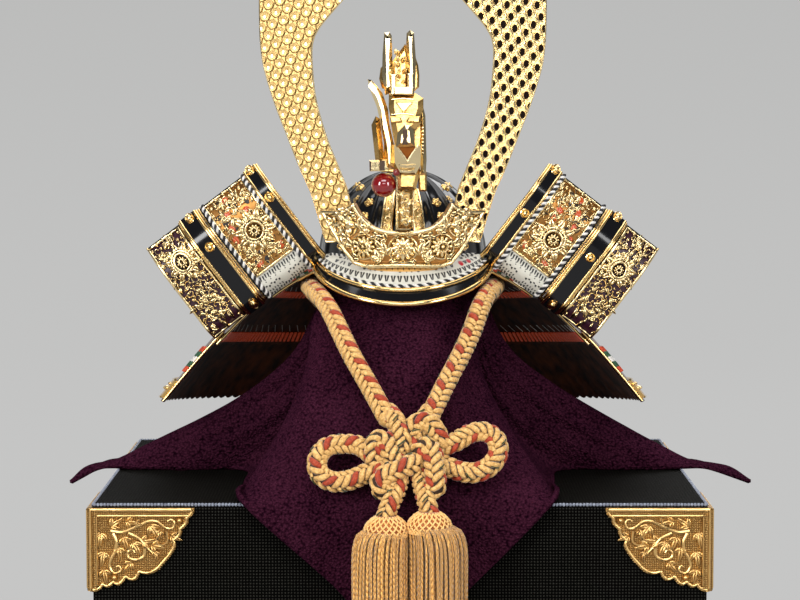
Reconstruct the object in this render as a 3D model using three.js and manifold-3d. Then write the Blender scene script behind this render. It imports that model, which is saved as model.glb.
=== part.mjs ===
// Display kabuto on a cloth-draped post, standing on its storage chest and a lacquered board.
// Millimetres, +Z up, the helmet faces -Y. The origin is the middle of the board's underside.

import * as THREE from 'three';
import { mergeVertices } from 'three/addons/utils/BufferGeometryUtils.js';
import Module from 'manifold-3d';

const wasm = await Module();
wasm.setup();

// Driving sizes

const gap = 0.3;              // clearance between pieces that touch
const jointOverlap = 0.4;     // how far pieces of one solid reach into each other

const board = { width: 316, depth: 240, thickness: 12, edge: 1.2 };
const chest = { width: 210, depth: 165, height: 100, wall: 4, lidDepth: 58, slide: 0.5 };
const fitting = { reach: 36, drop: 28.7, thickness: 0.9, border: 2.9, borderRise: 0.5 };
const post = { footRadius: 34, footHeight: 7, shaftRadius: 7 };
const postHead = { radius: 14.6, taper: 0.62, rise: 12 };
const cloth = { thickness: 1.6, perFold: 2, mouth: 26, mouthHeight: 75, neckHeight: 60, footRows: 5 };

const bowl = { halfWidth: 30.4, halfDepth: 33.5, rise: 32.6, rimHeight: 79, skirt: 4, wall: 1.6 };
const ribs = { count: 16, rise: 0.7, perRib: 2 };
const crown = { radius: 8, steps: 3, stepRise: 1.1, holeRadius: 3, sink: 0.2 };
const strips = { width: 4.6, sideWidth: 3.4, spacing: 7.2, bottom: 0.1, top: 0.62, thickness: 1 };
const visor = { reach: 8.4, endReach: 5.2, spread: 57.5, slope: 1.08, endSlope: 0.4, lift: 1.9, bulge: 1.1 };
const visorThickness = 1.5;
const rimWire = { radius: 0.65, upperPlace: 0.7, steps: 16, sides: 5 };
const crestBase = { halfWidth: 29, height: 23, lift: 0.9, thickness: 1.8, bend: 45, stand: 39.3, lean: 0.09 };
const crestSlices = 6;
const rosette = { radius: 3.2, bigRadius: 4.2, rise: 1.1, sides: 6 };
const horn = { thickness: 1.3, height: 118, halfSpan: 52.4, yaw: 18 };
const dragon = { height: 64, halfWidth: 10, depth: 12, stand: 47, foot: 98, jewelRadius: 4.35 };
const stem = { width: 5, thickness: 2.2, bridge: 7, drop: 9 };

const wing = { length: 51, breadth: 38.6, slope: 37.3, innerOut: 52, innerUp: 113.5, stand: 25, sweep: 0.05 };
const wingForm = { curlBack: 7, curlShare: 0.34, footBack: 3.6, footShare: 0.1, split: 27.6 };
const wingGrid = { rows: 7, columns: 2, plateColumns: 4 };
const wingPlate = { thickness: 1.4, band: 6.6, lowerBand: 8.6, relief: 1.2, margin: 1.6 };
const pierce = { across: 3, along: 6, share: 0.52 };
const guard = { bottom: 89, height: 49.5, curve: 1.35, tilt: 0.095, lames: 3, seat: 2 };
const guardTop = bowl.halfDepth + ribs.rise + 2 * gap;
const lame = { thickness: 1, lap: 2.6, lift: 2.5, rows: 3, columns: 17 };

const cord = { radius: 3.8, sides: 7, steps: 28, knotSides: 6 };
const tassel = { headHeight: 9, skirtRadius: 9.6, skirtLength: 52, locks: 9, lockDepth: 0.07 };
const helmetShift = 1;        // the helmet sits this far right of the chest's middle

const bodyTop = board.thickness + gap;
const lidTop = bodyTop + chest.height;
const degrees = Math.PI / 180;

// Materials

const finish = (color, roughness, metalness) => (
  new THREE.MeshStandardMaterial({ color, roughness, metalness })
);
const lacquer = () => finish(0x0b0b0d, 0.25, 0);
const gold = () => finish(0xd9a441, 0.28, 1);
const weave = () => finish(0x15171d, 0.85, 0);
const wood = () => finish(0x8a6a44, 0.7, 0);
const crepe = () => finish(0x3b1f3d, 0.9, 0);
const braid = () => finish(0xd9a95c, 0.7, 0);
const redLacquer = () => finish(0x4a140c, 0.35, 0);
const redGlass = () => finish(0xb01018, 0.08, 0);

const group = new THREE.Group();
const helmet = new THREE.Group();
helmet.position.set(helmetShift, 0, lidTop);
const onChest = new THREE.Group();
onChest.position.set(0, 0, lidTop);
group.add(helmet, onChest);

function addPiece(parent, name, geometry, material) {
  const mesh = new THREE.Mesh(geometry, material);
  mesh.name = name;
  parent.add(mesh);
  return mesh;
}

// Solids from triangles, and their joins

function fromTriangles(positions, indices) {
  const geometry = new THREE.BufferGeometry();
  geometry.setAttribute('position', new THREE.Float32BufferAttribute(positions, 3));
  geometry.setIndex(indices);
  const points = geometry.attributes.position;
  const [a, b, c] = [new THREE.Vector3(), new THREE.Vector3(), new THREE.Vector3()];
  let volume = 0;
  for (let i = 0; i < indices.length; i += 3) {
    a.fromBufferAttribute(points, indices[i]);
    b.fromBufferAttribute(points, indices[i + 1]);
    c.fromBufferAttribute(points, indices[i + 2]);
    volume += a.dot(b.cross(c));
  }
  if (volume < 0) {
    geometry.setIndex(indices.slice().reverse());
  }
  return geometry;
}

function toSolid(geometry) {
  const bare = geometry.clone();
  bare.deleteAttribute('normal');
  bare.deleteAttribute('uv');
  const merged = mergeVertices(bare, 1e-4);
  const vertProperties = new Float32Array(merged.attributes.position.array);
  const triVerts = new Uint32Array(merged.index.array);
  return new wasm.Manifold(new wasm.Mesh({ numProp: 3, vertProperties, triVerts }));
}

function toGeometry(solid) {
  const mesh = solid.getMesh();
  const geometry = new THREE.BufferGeometry();
  geometry.setAttribute('position', new THREE.BufferAttribute(new Float32Array(mesh.vertProperties), 3));
  geometry.setIndex(new THREE.BufferAttribute(new Uint32Array(mesh.triVerts), 1));
  return geometry;
}

const joined = (geometries) => toGeometry(geometries.map(toSolid).reduce((sum, next) => sum.add(next)));
const cutBy = (geometry, tools) =>
  toGeometry(tools.map(toSolid).reduce((left, tool) => left.subtract(tool), toSolid(geometry)));

function moved(geometry, x, y, z) {
  return geometry.clone().translate(x, y, z);
}

function mirrored(geometry) {
  const copy = geometry.clone().applyMatrix4(new THREE.Matrix4().makeScale(-1, 1, 1));
  const positions = Array.from(copy.attributes.position.array);
  const inOrder = Array.from({ length: positions.length / 3 }, (_, i) => i);
  const indices = copy.index ? Array.from(copy.index.array) : inOrder;
  return fromTriangles(positions, indices);
}

const box = (width, depth, height, x, y, z) => new THREE.BoxGeometry(width, depth, height).translate(x, y, z);

// A closed shell between two grids of points, open at its rims or closed round, with or without a pole.
function shell(front, back, { round = false, pole = false } = {}) {
  const rows = front.length;
  const columns = front[0].length;
  const positions = [];
  const indices = [];
  for (const side of [front, back]) {
    for (const row of side) {
      for (const p of row) {
        positions.push(p.x, p.y, p.z);
      }
    }
  }
  const size = rows * columns;
  const at = (side, j, i) => side * size + j * columns + (i % columns);
  const quad = (a, b, c, d) => indices.push(a, b, c, a, c, d);
  const across = round ? columns : columns - 1;
  for (let j = 0; j < rows - 1; j += 1) {
    for (let i = 0; i < across; i += 1) {
      quad(at(0, j, i), at(0, j, i + 1), at(0, j + 1, i + 1), at(0, j + 1, i));
      quad(at(1, j, i), at(1, j + 1, i), at(1, j + 1, i + 1), at(1, j, i + 1));
    }
  }
  const rimRows = pole ? [rows - 1] : [0, rows - 1];
  for (const j of rimRows) {
    for (let i = 0; i < across; i += 1) {
      const [a, b, c, d] = [at(0, j, i), at(0, j, i + 1), at(1, j, i + 1), at(1, j, i)];
      if (j === 0) quad(a, d, c, b);
      else quad(a, b, c, d);
    }
  }
  if (pole) {
    for (const side of [0, 1]) {
      const centre = new THREE.Vector3();
      for (let i = 0; i < columns; i += 1) {
        centre.add((side ? back : front)[0][i]);
      }
      centre.divideScalar(columns);
      const hub = positions.push(centre.x, centre.y, centre.z) / 3 - 1;
      for (let i = 0; i < across; i += 1) {
        if (side) indices.push(hub, at(1, 0, i), at(1, 0, i + 1));
        else indices.push(hub, at(0, 0, i + 1), at(0, 0, i));
      }
    }
  }
  if (!round) {
    for (let j = 0; j < rows - 1; j += 1) {
      quad(at(0, j, 0), at(0, j + 1, 0), at(1, j + 1, 0), at(1, j, 0));
      quad(at(0, j, across), at(1, j, across), at(1, j + 1, across), at(0, j + 1, across));
    }
  }
  return fromTriangles(positions, indices);
}

// A slab round the surface point(u, v), with u and v from 0 to 1. It reaches from 'under' to 'over' along
// the surface's normal.
function slab(point, columns, rows, under, over, options = {}) {
  const front = [];
  const back = [];
  const step = 1e-3;
  for (let j = 0; j <= rows; j += 1) {
    front.push([]);
    back.push([]);
    const lastColumn = options.round ? columns - 1 : columns;
    for (let i = 0; i <= lastColumn; i += 1) {
      const u = i / columns;
      const v = j / rows;
      const p = point(u, v);
      const du = point(u + step, v).sub(point(u - step, v));
      const dv = point(u, v + step).sub(point(u, v - step));
      const normal = du.cross(dv).normalize();
      front[j].push(p.clone().addScaledVector(normal, over));
      back[j].push(p.clone().addScaledVector(normal, under));
    }
  }
  return shell(front, back, options);
}

// A tube of one radius along points, with flat ends or closed on itself.
function tube(points, radius, sides, steps, closed = false) {
  const path = new THREE.CatmullRomCurve3(points, closed, 'centripetal');
  const section = new THREE.Shape();
  for (let k = 0; k < sides; k += 1) {
    const angle = (2 * Math.PI * k) / sides;
    const place = [radius * Math.cos(angle), radius * Math.sin(angle)];
    if (k === 0) section.moveTo(...place);
    else section.lineTo(...place);
  }
  section.closePath();
  return new THREE.ExtrudeGeometry(section, { steps, extrudePath: path, bevelEnabled: false });
}

const vec = (x, y, z) => new THREE.Vector3(x, y, z);

// The board and the chest with its lift-off lid

function boardSolid() {
  const shape = new THREE.Shape();
  const halfWidth = board.width / 2 - board.edge;
  const halfDepth = board.depth / 2 - board.edge;
  shape.moveTo(-halfWidth, -halfDepth);
  shape.lineTo(halfWidth, -halfDepth);
  shape.lineTo(halfWidth, halfDepth);
  shape.lineTo(-halfWidth, halfDepth);
  shape.closePath();
  const depth = board.thickness - 2 * board.edge;
  const bevel = { bevelThickness: board.edge, bevelSize: board.edge, bevelSegments: 1 };
  return new THREE.ExtrudeGeometry(shape, { depth, ...bevel }).translate(0, 0, board.edge);
}

const lidInner = { width: chest.width - 2 * chest.wall, depth: chest.depth - 2 * chest.wall };
const body = {
  width: lidInner.width - 2 * chest.slide,
  depth: lidInner.depth - 2 * chest.slide,
  height: chest.height - chest.wall - gap,
};

function chestBodySolid() {
  const outer = box(body.width, body.depth, body.height, 0, 0, bodyTop + body.height / 2);
  const room = { width: body.width - 2 * chest.wall, depth: body.depth - 2 * chest.wall };
  const hollow = box(room.width, room.depth, body.height, 0, 0, bodyTop + chest.wall + body.height / 2);
  return cutBy(outer, [hollow]);
}

function chestLidSolid() {
  const outer = box(chest.width, chest.depth, chest.lidDepth, 0, 0, lidTop - chest.lidDepth / 2);
  const hollow = box(
    lidInner.width, lidInner.depth, chest.lidDepth, 0, 0, lidTop - chest.wall - chest.lidDepth / 2,
  );
  return cutBy(outer, [hollow]);
}

// A corner fitting: two plates, one on each face. Each is a quarter fan with a lobed lower edge and a
// raised straight border. The lobes run from the top edge's end to the corner's foot. Each row is the
// hollow that ends a lobe and the lobe's swell before it, as shares of the fitting's reach and drop.
const fittingLobes = [
  { swell: [0.993, 0.07], hollow: [0.945, 0.132] },
  { swell: [0.934, 0.2], hollow: [0.884, 0.258] },
  { swell: [0.87, 0.34], hollow: [0.814, 0.401] },
  { swell: [0.815, 0.5], hollow: [0.706, 0.68] },
  { swell: [0.6, 0.79], hollow: [0.485, 0.78] },
  { swell: [0.43, 0.875], hollow: [0.355, 0.84] },
  { swell: [0.29, 0.93], hollow: [0.236, 0.905] },
  { swell: [0.18, 0.96], hollow: [0.136, 0.934] },
  { swell: [0.08, 1.0], hollow: [0, 1] },
];

function fittingLeaf(reach, drop) {
  const shape = new THREE.Shape();
  shape.moveTo(0, 0);
  shape.lineTo(reach, 0);
  let from = [1, 0];
  for (const { swell, hollow } of fittingLobes) {
    // The curve passes through the swell half way along.
    const pull = swell.map((v, k) => 2 * v - (from[k] + hollow[k]) / 2);
    shape.quadraticCurveTo(pull[0] * reach, -pull[1] * drop, hollow[0] * reach, -hollow[1] * drop);
    from = hollow;
  }
  shape.closePath();
  const flat = { curveSegments: 2, bevelEnabled: false };
  const plate = new THREE.ExtrudeGeometry(shape, { depth: fitting.thickness, ...flat });
  const rise = fitting.thickness + fitting.borderRise;
  const barDrop = drop - fitting.border / 3;
  const topBar = box(reach * 0.97, fitting.border, rise, reach * 0.485, -fitting.border / 2, rise / 2);
  const sideBar = box(fitting.border, barDrop, rise, fitting.border / 2, -barDrop / 2, rise / 2);
  return joined([plate, topBar, sideBar]);
}

function fittingSolid() {
  // The side leaf starts a little inside the front one, so that no faces of the two coincide.
  const front = fittingLeaf(fitting.reach + fitting.thickness, fitting.drop).rotateX(Math.PI / 2);
  const sideLeaf = mirrored(fittingLeaf(fitting.reach, fitting.drop - jointOverlap));
  const side = sideLeaf.rotateX(Math.PI / 2).rotateZ(-Math.PI / 2);
  const inset = jointOverlap / 2;
  return joined([front, side.translate(fitting.thickness, -fitting.thickness + inset, -inset)]);
}

addPiece(group, 'base_board', boardSolid(), lacquer());
addPiece(group, 'chest_body', chestBodySolid(), weave());
addPiece(group, 'chest_lid', chestLidSolid(), weave());

const fittingOff = gap + fitting.thickness;
const cornerPlaces = [
  { name: 'corner_fitting_front_left', flipX: 1, flipY: 1 },
  { name: 'corner_fitting_front_right', flipX: -1, flipY: 1 },
  { name: 'corner_fitting_back_left', flipX: 1, flipY: -1 },
  { name: 'corner_fitting_back_right', flipX: -1, flipY: -1 },
];
const fittingAtFrontLeft = moved(
  fittingSolid(), -chest.width / 2 - fittingOff, -chest.depth / 2 - gap, lidTop - 1,
);
for (const { name, flipX, flipY } of cornerPlaces) {
  let piece = fittingAtFrontLeft;
  if (flipX < 0) piece = mirrored(piece);
  if (flipY < 0) piece = mirrored(piece).rotateZ(Math.PI);
  addPiece(group, name, piece, gold());
}

// The hidden post that carries the cloth and the helmet

const bowlInnerTop = bowl.rimHeight + bowl.rise - bowl.wall;
const clothTop = bowlInnerTop - gap - cloth.thickness / 2;
const postTop = clothTop - cloth.thickness / 2 - 2 * gap;

function postSolid() {
  const profile = [
    [0, gap],
    [post.footRadius, gap],
    [post.footRadius, gap + post.footHeight / 2],
    [post.shaftRadius, gap + post.footHeight],
    [post.shaftRadius, postTop - 2 * postHead.rise],
    [postHead.radius * postHead.taper, postTop - 1.6 * postHead.rise],
    [postHead.radius, postTop - postHead.rise],
    [postHead.radius * 0.86, postTop - postHead.rise * 0.45],
    [postHead.radius * 0.5, postTop - postHead.rise * 0.12],
    [0, postTop],
  ].map(([radius, height]) => new THREE.Vector2(radius, height));
  return new THREE.LatheGeometry(profile, 12).rotateX(Math.PI / 2);
}

addPiece(helmet, 'stand_post', postSolid(), wood());

// The crepe cloth, a square laid over the post. One row per fold line, which runs from the helmet's mouth
// down to the hem. bearing is the fold's direction at the mouth and end at the hem, in degrees
// from the front towards the left side. neck is its reach at the neck height and hem its reach where it
// meets the chest's top, as shares of the chest's half depth. flare is how late the fold spreads out.
// hang is how far it runs on past that, and dip how far it falls there, as shares of the same.

const reachUnit = chest.depth / 2;
const folds = [
  { name: 'front corner', bearing: 0, end: 0, neck: 0.51, hem: 1.035, flare: 0.7, hang: 0.02, dip: 0.59 },
  { name: 'front left', bearing: 20, end: 16, neck: 0.52, hem: 1.07, flare: 0.85, hang: 0.02, dip: 0.32 },
  { name: 'left ridge', bearing: 43, end: 32, neck: 0.54, hem: 1.2, flare: 1.6, hang: 0.03, dip: 0 },
  { name: 'left flank', bearing: 58, end: 54, neck: 0.4, hem: 0.8, flare: 2.1, hang: 0.04, dip: 0 },
  { name: 'left valley', bearing: 74, end: 86, neck: 0.33, hem: 0.68, flare: 2.7, hang: 0.04, dip: 0 },
  { name: 'left wing foot', bearing: 80, end: 88, neck: 0.34, hem: 1.02, flare: 2.7, hang: 0.05, dip: 0 },
  { name: 'left wing face', bearing: 86, end: 90, neck: 0.36, hem: 1.27, flare: 2.2, hang: 0.08, dip: 0 },
  { name: 'left wing top', bearing: 93, end: 93.5, neck: 0.38, hem: 1.34, flare: 1.7, hang: 0.17, dip: 0.08 },
  { name: 'left wing back', bearing: 102, end: 97, neck: 0.36, hem: 1.27, flare: 2.2, hang: 0.08, dip: 0 },
  { name: 'left wing heel', bearing: 110, end: 100, neck: 0.34, hem: 1, flare: 2.7, hang: 0.05, dip: 0 },
  { name: 'left rear valley', bearing: 120, end: 106, neck: 0.34, hem: 0.72, flare: 2.4, hang: 0.04, dip: 0 },
  { name: 'left rear flank', bearing: 135, end: 127, neck: 0.38, hem: 0.84, flare: 2, hang: 0.04, dip: 0 },
  { name: 'left rear ridge', bearing: 150, end: 148, neck: 0.38, hem: 1.2, flare: 2, hang: 0.03, dip: 0 },
  { name: 'rear left', bearing: 166, end: 164, neck: 0.37, hem: 1.07, flare: 1.8, hang: 0.02, dip: 0.32 },
  { name: 'rear corner', bearing: 180, end: 180, neck: 0.37, hem: 1.035, flare: 1.7, hang: 0.02, dip: 0.59 },
];
// The front panel is narrower on the right, where its ridge stands nearer the middle.
const rightChanges = {
  'front left': { bearing: 16, neck: 0.5 },
  'left ridge': { bearing: 35, neck: 0.45, hem: 1.17, end: 30.5 },
  'left flank': { bearing: 52, neck: 0.36, hem: 0.76 },
  'left wing top': { hang: 0.24 },
};

function foldLines() {
  const sides = folds.map((fold) => ({ ...fold, side: -1 }));
  const right = folds.slice(1, -1).map((fold) => ({ ...fold, ...rightChanges[fold.name], side: 1 }));
  return [...sides, ...right.reverse()];
}

// The levels that every fold line passes, from the crown of the post down to the hem.
function foldPoints(fold) {
  const points = [];
  const place = (bearing, reach, height) => points.push(vec(
    fold.side * reach * Math.sin(bearing * degrees),
    -reach * Math.cos(bearing * degrees),
    height,
  ));
  const headReach = postHead.radius + gap + cloth.thickness / 2;
  place(fold.bearing, headReach * 0.4, clothTop - postHead.rise * 0.05);
  place(fold.bearing, headReach * 0.85, clothTop - postHead.rise * 0.42);
  place(fold.bearing, headReach + 0.6, clothTop - postHead.rise * 0.95);
  place(fold.bearing, (headReach + cloth.mouth) / 2, (clothTop - postHead.rise + cloth.mouthHeight) / 2);
  const mouthReach = Math.min(cloth.mouth, fold.neck * reachUnit - 1);
  place(fold.bearing, mouthReach, cloth.mouthHeight);
  const lieHeight = gap + cloth.thickness / 2;
  for (let k = 0; k <= cloth.footRows; k += 1) {
    const fall = 1 - (1 - k / cloth.footRows) ** 1.4;
    const reach = fold.neck + (fold.hem - fold.neck) * fall ** fold.flare;
    const bearing = fold.bearing + (fold.end - fold.bearing) * fall;
    place(bearing, reach * reachUnit, cloth.neckHeight + (lieHeight - cloth.neckHeight) * fall);
  }
  const lastReach = (fold.hem + fold.hang) * reachUnit;
  place(fold.end, lastReach - fold.hang * reachUnit * 0.4, lieHeight - fold.dip * reachUnit * 0.25);
  place(fold.end, lastReach, lieHeight - fold.dip * reachUnit);
  return points;
}

function clothSolid() {
  const lines = foldLines().map(foldPoints);
  const levels = lines[0].length;
  const columns = lines.length * cloth.perFold;
  const rows = [];
  for (let j = 0; j < levels; j += 1) {
    const ring = new THREE.CatmullRomCurve3(lines.map((line) => line[j]), true, 'centripetal');
    rows.push(Array.from({ length: columns }, (_, i) => ring.getPoint(i / columns)));
  }
  const normalAt = (j, i) => {
    const along = rows[j][(i + 1) % columns].clone().sub(rows[j][(i + columns - 1) % columns]);
    const down = rows[Math.min(j + 1, levels - 1)][i].clone().sub(rows[Math.max(j - 1, 0)][i]);
    return down.cross(along).normalize();
  };
  const offset = (amount) => rows.map((row, j) => (
    row.map((p, i) => p.clone().addScaledVector(normalAt(j, i), amount))
  ));
  return shell(offset(cloth.thickness / 2), offset(-cloth.thickness / 2), { round: true, pole: true });
}

addPiece(helmet, 'display_cloth', clothSolid(), crepe());

// The helmet bowl. turn runs round from the front, 0 to 1, and climb from the rim, 0, to the crown, 1.

function bowlPoint(turn, climb, off = 0) {
  const angle = turn * 2 * Math.PI;
  const rise = climb * Math.PI / 2;
  const x = (bowl.halfWidth + off) * Math.sin(angle) * Math.cos(rise);
  const y = -(bowl.halfDepth + off) * Math.cos(angle) * Math.cos(rise);
  return vec(x, y, bowl.rimHeight + (bowl.rise + off) * Math.sin(rise));
}

function bowlSolid() {
  const columns = ribs.count * ribs.perRib;
  const levels = [-1, 0, 0.2, 0.42, 0.64, 0.84, 0.95];
  const grid = (off, ribRise) => levels.map((climb) => Array.from({ length: columns }, (_, i) => {
    const onRib = i % ribs.perRib === 0 ? ribRise : 0;
    const p = bowlPoint(i / columns, Math.max(climb, 0), off + onRib * (climb > 0.9 ? 0.3 : 1));
    if (climb < 0) p.z -= bowl.skirt;
    return p;
  })).reverse();
  return shell(grid(0, ribs.rise), grid(-bowl.wall, 0), { round: true, pole: true });
}

function crownSolid() {
  const base = bowl.rimHeight + bowl.rise + gap;
  const profile = [new THREE.Vector2(crown.holeRadius, base + 0.4)];
  profile.push(new THREE.Vector2(crown.radius, base - crown.sink));
  for (let k = 0; k < crown.steps; k += 1) {
    const inner = crown.radius - ((k + 1) * (crown.radius - crown.holeRadius - 0.8)) / crown.steps;
    const outer = crown.radius - (k * (crown.radius - crown.holeRadius - 0.8)) / crown.steps;
    profile.push(new THREE.Vector2(outer, base + (k + 0.6) * crown.stepRise));
    profile.push(new THREE.Vector2(inner, base + (k + 1) * crown.stepRise));
  }
  profile.push(new THREE.Vector2(crown.holeRadius, base + crown.steps * crown.stepRise));
  profile.push(profile[0].clone());
  return fromLathe(new THREE.LatheGeometry(profile.reverse(), 12).rotateX(Math.PI / 2));
}

function fromLathe(geometry) {
  const bare = geometry.clone();
  bare.deleteAttribute('normal');
  bare.deleteAttribute('uv');
  const merged = mergeVertices(bare, 1e-4);
  return fromTriangles(Array.from(merged.attributes.position.array), Array.from(merged.index.array));
}

// Three gilt strips down the front of the bowl, joined by a band at their feet.
function stripsSolid() {
  const under = ribs.rise + gap;
  const perTurn = 2 * Math.PI * bowl.halfWidth;
  const patch = (middle, width, low, high, rows) => slab((u, v) => bowlPoint(
    (middle + (u - 0.5) * width) / perTurn, low + (high - low) * v,
  ), 2, rows, under, under + strips.thickness);
  const pieces = [
    patch(0, strips.width, strips.bottom, strips.top, 4),
    patch(-strips.spacing, strips.sideWidth, strips.bottom, strips.top * 0.94, 4),
    patch(strips.spacing, strips.sideWidth, strips.bottom, strips.top * 0.94, 4),
    patch(0, 2 * strips.spacing + strips.sideWidth, strips.bottom - 0.02, strips.bottom + 0.05, 2),
  ];
  return joined(pieces);
}

addPiece(helmet, 'hachi_bowl', bowlSolid(), lacquer());
addPiece(helmet, 'crown_fitting', crownSolid(), gold());
addPiece(helmet, 'front_gilt_strips', stripsSolid(), gold());

// The visor, its two rim wires and the curved crest base that stands on its root

const visorClear = 1.7 * gap + ribs.rise;
function visorPoint(across, out) {
  const angle = (across * 2 - 1) * visor.spread * degrees;
  const swell = Math.max(Math.cos(angle * (90 / visor.spread)), 0) ** 0.7;
  const reach = visor.endReach + visor.reach * swell;
  const slope = visor.slope * (visor.endSlope + (1 - visor.endSlope) * swell);
  const from = visorClear + out * reach;
  const x = (bowl.halfWidth + from) * Math.sin(angle);
  const y = -(bowl.halfDepth + from) * Math.cos(angle);
  const bulge = visor.bulge * Math.sin(Math.PI * out);
  return vec(x, y, bowl.rimHeight + visor.lift - slope * reach * out + bulge);
}

const visorHalf = visorThickness / 2;
addPiece(helmet, 'visor', slab(visorPoint, 14, 3, -visorHalf, visorHalf), lacquer());

function rimLine(out, lift, forward) {
  return Array.from({ length: rimWire.steps + 1 }, (_, i) => {
    const p = visorPoint(0.02 + (0.96 * i) / rimWire.steps, out);
    const angle = (2 * i / rimWire.steps - 1) * visor.spread * degrees;
    return p.add(vec(Math.sin(angle) * forward, -Math.cos(angle) * forward, lift));
  });
}

const rimSeat = rimWire.radius + gap;
const rimTube = (line) => tube(line, rimWire.radius, rimWire.sides, rimWire.steps);
const lowerRim = rimTube(rimLine(1, -rimSeat * 0.75, rimSeat * 0.8));
const upperLift = (visorHalf + rimSeat) * 0.78;
const upperRim = rimTube(rimLine(rimWire.upperPlace, upperLift, upperLift));
addPiece(helmet, 'visor_rim_lower', lowerRim, gold());
addPiece(helmet, 'visor_rim_upper', upperRim, gold());

const crestNotch = 0.57;
const crestUnrolled = 1.06;   // length of the flat plate over its width once bent
// Half of the crest base's outline from the bottom middle round to the top middle, as shares of its
// half width and of its height.
const crestOutline = [
  { across: 0, up: 0.01 },
  { across: 0.42, up: 0 },
  { across: 0.56, up: 0.05 },
  { across: 0.67, up: 0.22 },
  { across: 0.82, up: 0.52 },
  { across: 1, up: 0.88 },
  { across: 0.72, up: 0.88 },
  { across: 0.55, up: 1 },
  { across: 0.46, up: 0.81 },
  { across: 0.33, up: 0.65 },
  { across: 0.16, up: 0.58 },
  { across: 0, up: crestNotch },
];
const rosettes = [
  { across: 0, up: 0.3, radius: rosette.bigRadius },
  { across: 0.46, up: 0.33, radius: rosette.radius },
  { across: 0.7, up: 0.66, radius: rosette.radius },
];
const crestFoot = bowl.rimHeight - crestBase.lift;

// Bends a flat plate drawn in X and Z round an upright cylinder, and leans it forward with height.
function bendCrest(geometry) {
  const points = geometry.attributes.position;
  const p = vec(0, 0, 0);
  for (let i = 0; i < points.count; i += 1) {
    p.fromBufferAttribute(points, i);
    const angle = p.x / crestBase.bend;
    const radius = crestBase.bend - p.y;
    const back = crestBase.bend - radius * Math.cos(angle);
    const y = -crestBase.stand + back - crestBase.lean * p.z;
    points.setXYZ(i, radius * Math.sin(angle), y, crestFoot + p.z);
  }
  return geometry;
}

function crestBaseSolid() {
  const parts = [];
  const widest = crestBase.halfWidth * crestUnrolled;
  const half = crestOutline.map(({ across, up }) => [across * widest, up * crestBase.height]);
  const whole = [...half, ...half.slice(1, -1).reverse().map(([x, z]) => [-x, z])];
  const contour = whole.map(([x, z]) => new THREE.Vector2(x, z));
  const flatForm = { depth: crestBase.thickness, bevelEnabled: false };
  const flat = new THREE.ExtrudeGeometry(new THREE.Shape(contour), flatForm);
  flat.rotateX(Math.PI / 2);
  // The plate is cut into upright slices so that it can bend.
  for (let k = 0; k < crestSlices; k += 1) {
    const width = (2 * widest) / crestSlices;
    const [deep, tall] = [crestBase.thickness * 3, crestBase.height * 3];
    const knife = box(width + jointOverlap, deep, tall, -widest + (k + 0.5) * width, 0, 0);
    parts.push(bendCrest(toGeometry(toSolid(flat).intersect(toSolid(knife)))));
  }
  for (const { across, up, radius } of rosettes) {
    const sides = across === 0 ? [1] : [-1, 1];
    for (const side of sides) {
      const rise = rosette.rise + jointOverlap;
      const boss = new THREE.CylinderGeometry(radius, radius * 0.45, rise, rosette.sides);
      const reach = crestBase.thickness + (rosette.rise - jointOverlap) / 2;
      boss.translate(side * across * crestBase.halfWidth, -reach, up * crestBase.height);
      parts.push(bendCrest(boss));
    }
  }
  return joined(parts);
}

addPiece(helmet, 'crest_base', crestBaseSolid(), gold());

// The pair of flat gilt horns. One row per height, as shares of the horn's height above its root and of
// the pair's half span.
const hornRows = [
  { up: -0.09, inner: 0.42, outer: 0.52 },
  { up: 0, inner: 0.35, outer: 0.585 },
  { up: 0.06, inner: 0.363, outer: 0.63 },
  { up: 0.145, inner: 0.44, outer: 0.72 },
  { up: 0.23, inner: 0.52, outer: 0.8 },
  { up: 0.34, inner: 0.594, outer: 0.9 },
  { up: 0.44, inner: 0.62, outer: 0.97 },
  { up: 0.51, inner: 0.618, outer: 0.993 },
  { up: 0.56, inner: 0.563, outer: 0.998 },
  { up: 0.635, inner: 0.41, outer: 1 },
  { up: 0.7, inner: 0.27, outer: 0.995 },
];
// The scooped top end, from the inner hook to the outer tip.
const hornScoop = [
  { up: 0.71, across: 0.26 },
  { up: 0.7, across: 0.46 },
  { up: 0.72, across: 0.65 },
  { up: 0.78, across: 0.79 },
  { up: 0.915, across: 0.915 },
  { up: 0.8, across: 0.98 },
];
const hornRoot = crestFoot + crestBase.height * 0.84;

function hornSolid() {
  const at = (across, up) => new THREE.Vector2(across * horn.halfSpan, up * horn.height);
  const inner = hornRows.map((row) => at(row.inner, row.up));
  const outer = hornRows.map((row) => at(row.outer, row.up)).reverse();
  const scoop = hornScoop.map((row) => at(row.across, row.up));
  const shape = new THREE.Shape();
  shape.moveTo(inner[0].x, inner[0].y);
  shape.splineThru(inner.slice(1));
  shape.splineThru(scoop.slice(0, 5));
  shape.splineThru([scoop[5], ...outer]);
  shape.closePath();
  const form = { depth: horn.thickness, curveSegments: 2, bevelEnabled: false };
  const plate = new THREE.ExtrudeGeometry(shape, form);
  const rootX = 0.47 * horn.halfSpan;
  plate.rotateX(Math.PI / 2).translate(-rootX, 0, 0).rotateZ(horn.yaw * degrees).translate(rootX, 0, 0);
  // The outer edge of the tang lies against the back of the crest base.
  const edge = hornRows[0].outer * horn.halfSpan;
  const bent = crestBase.bend - Math.sqrt(crestBase.bend ** 2 - edge ** 2);
  const rise = hornRoot - crestFoot + hornRows[0].up * horn.height;
  const face = -crestBase.stand + bent - crestBase.lean * rise;
  const turned = (edge - rootX) * Math.tan(horn.yaw * degrees);
  return plate.translate(0, face + gap + horn.thickness / Math.cos(horn.yaw * degrees) - turned, hornRoot);
}

const hornRight = hornSolid();
addPiece(helmet, 'kuwagata_right', hornRight, gold());
addPiece(helmet, 'kuwagata_left', mirrored(hornRight), gold());


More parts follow.
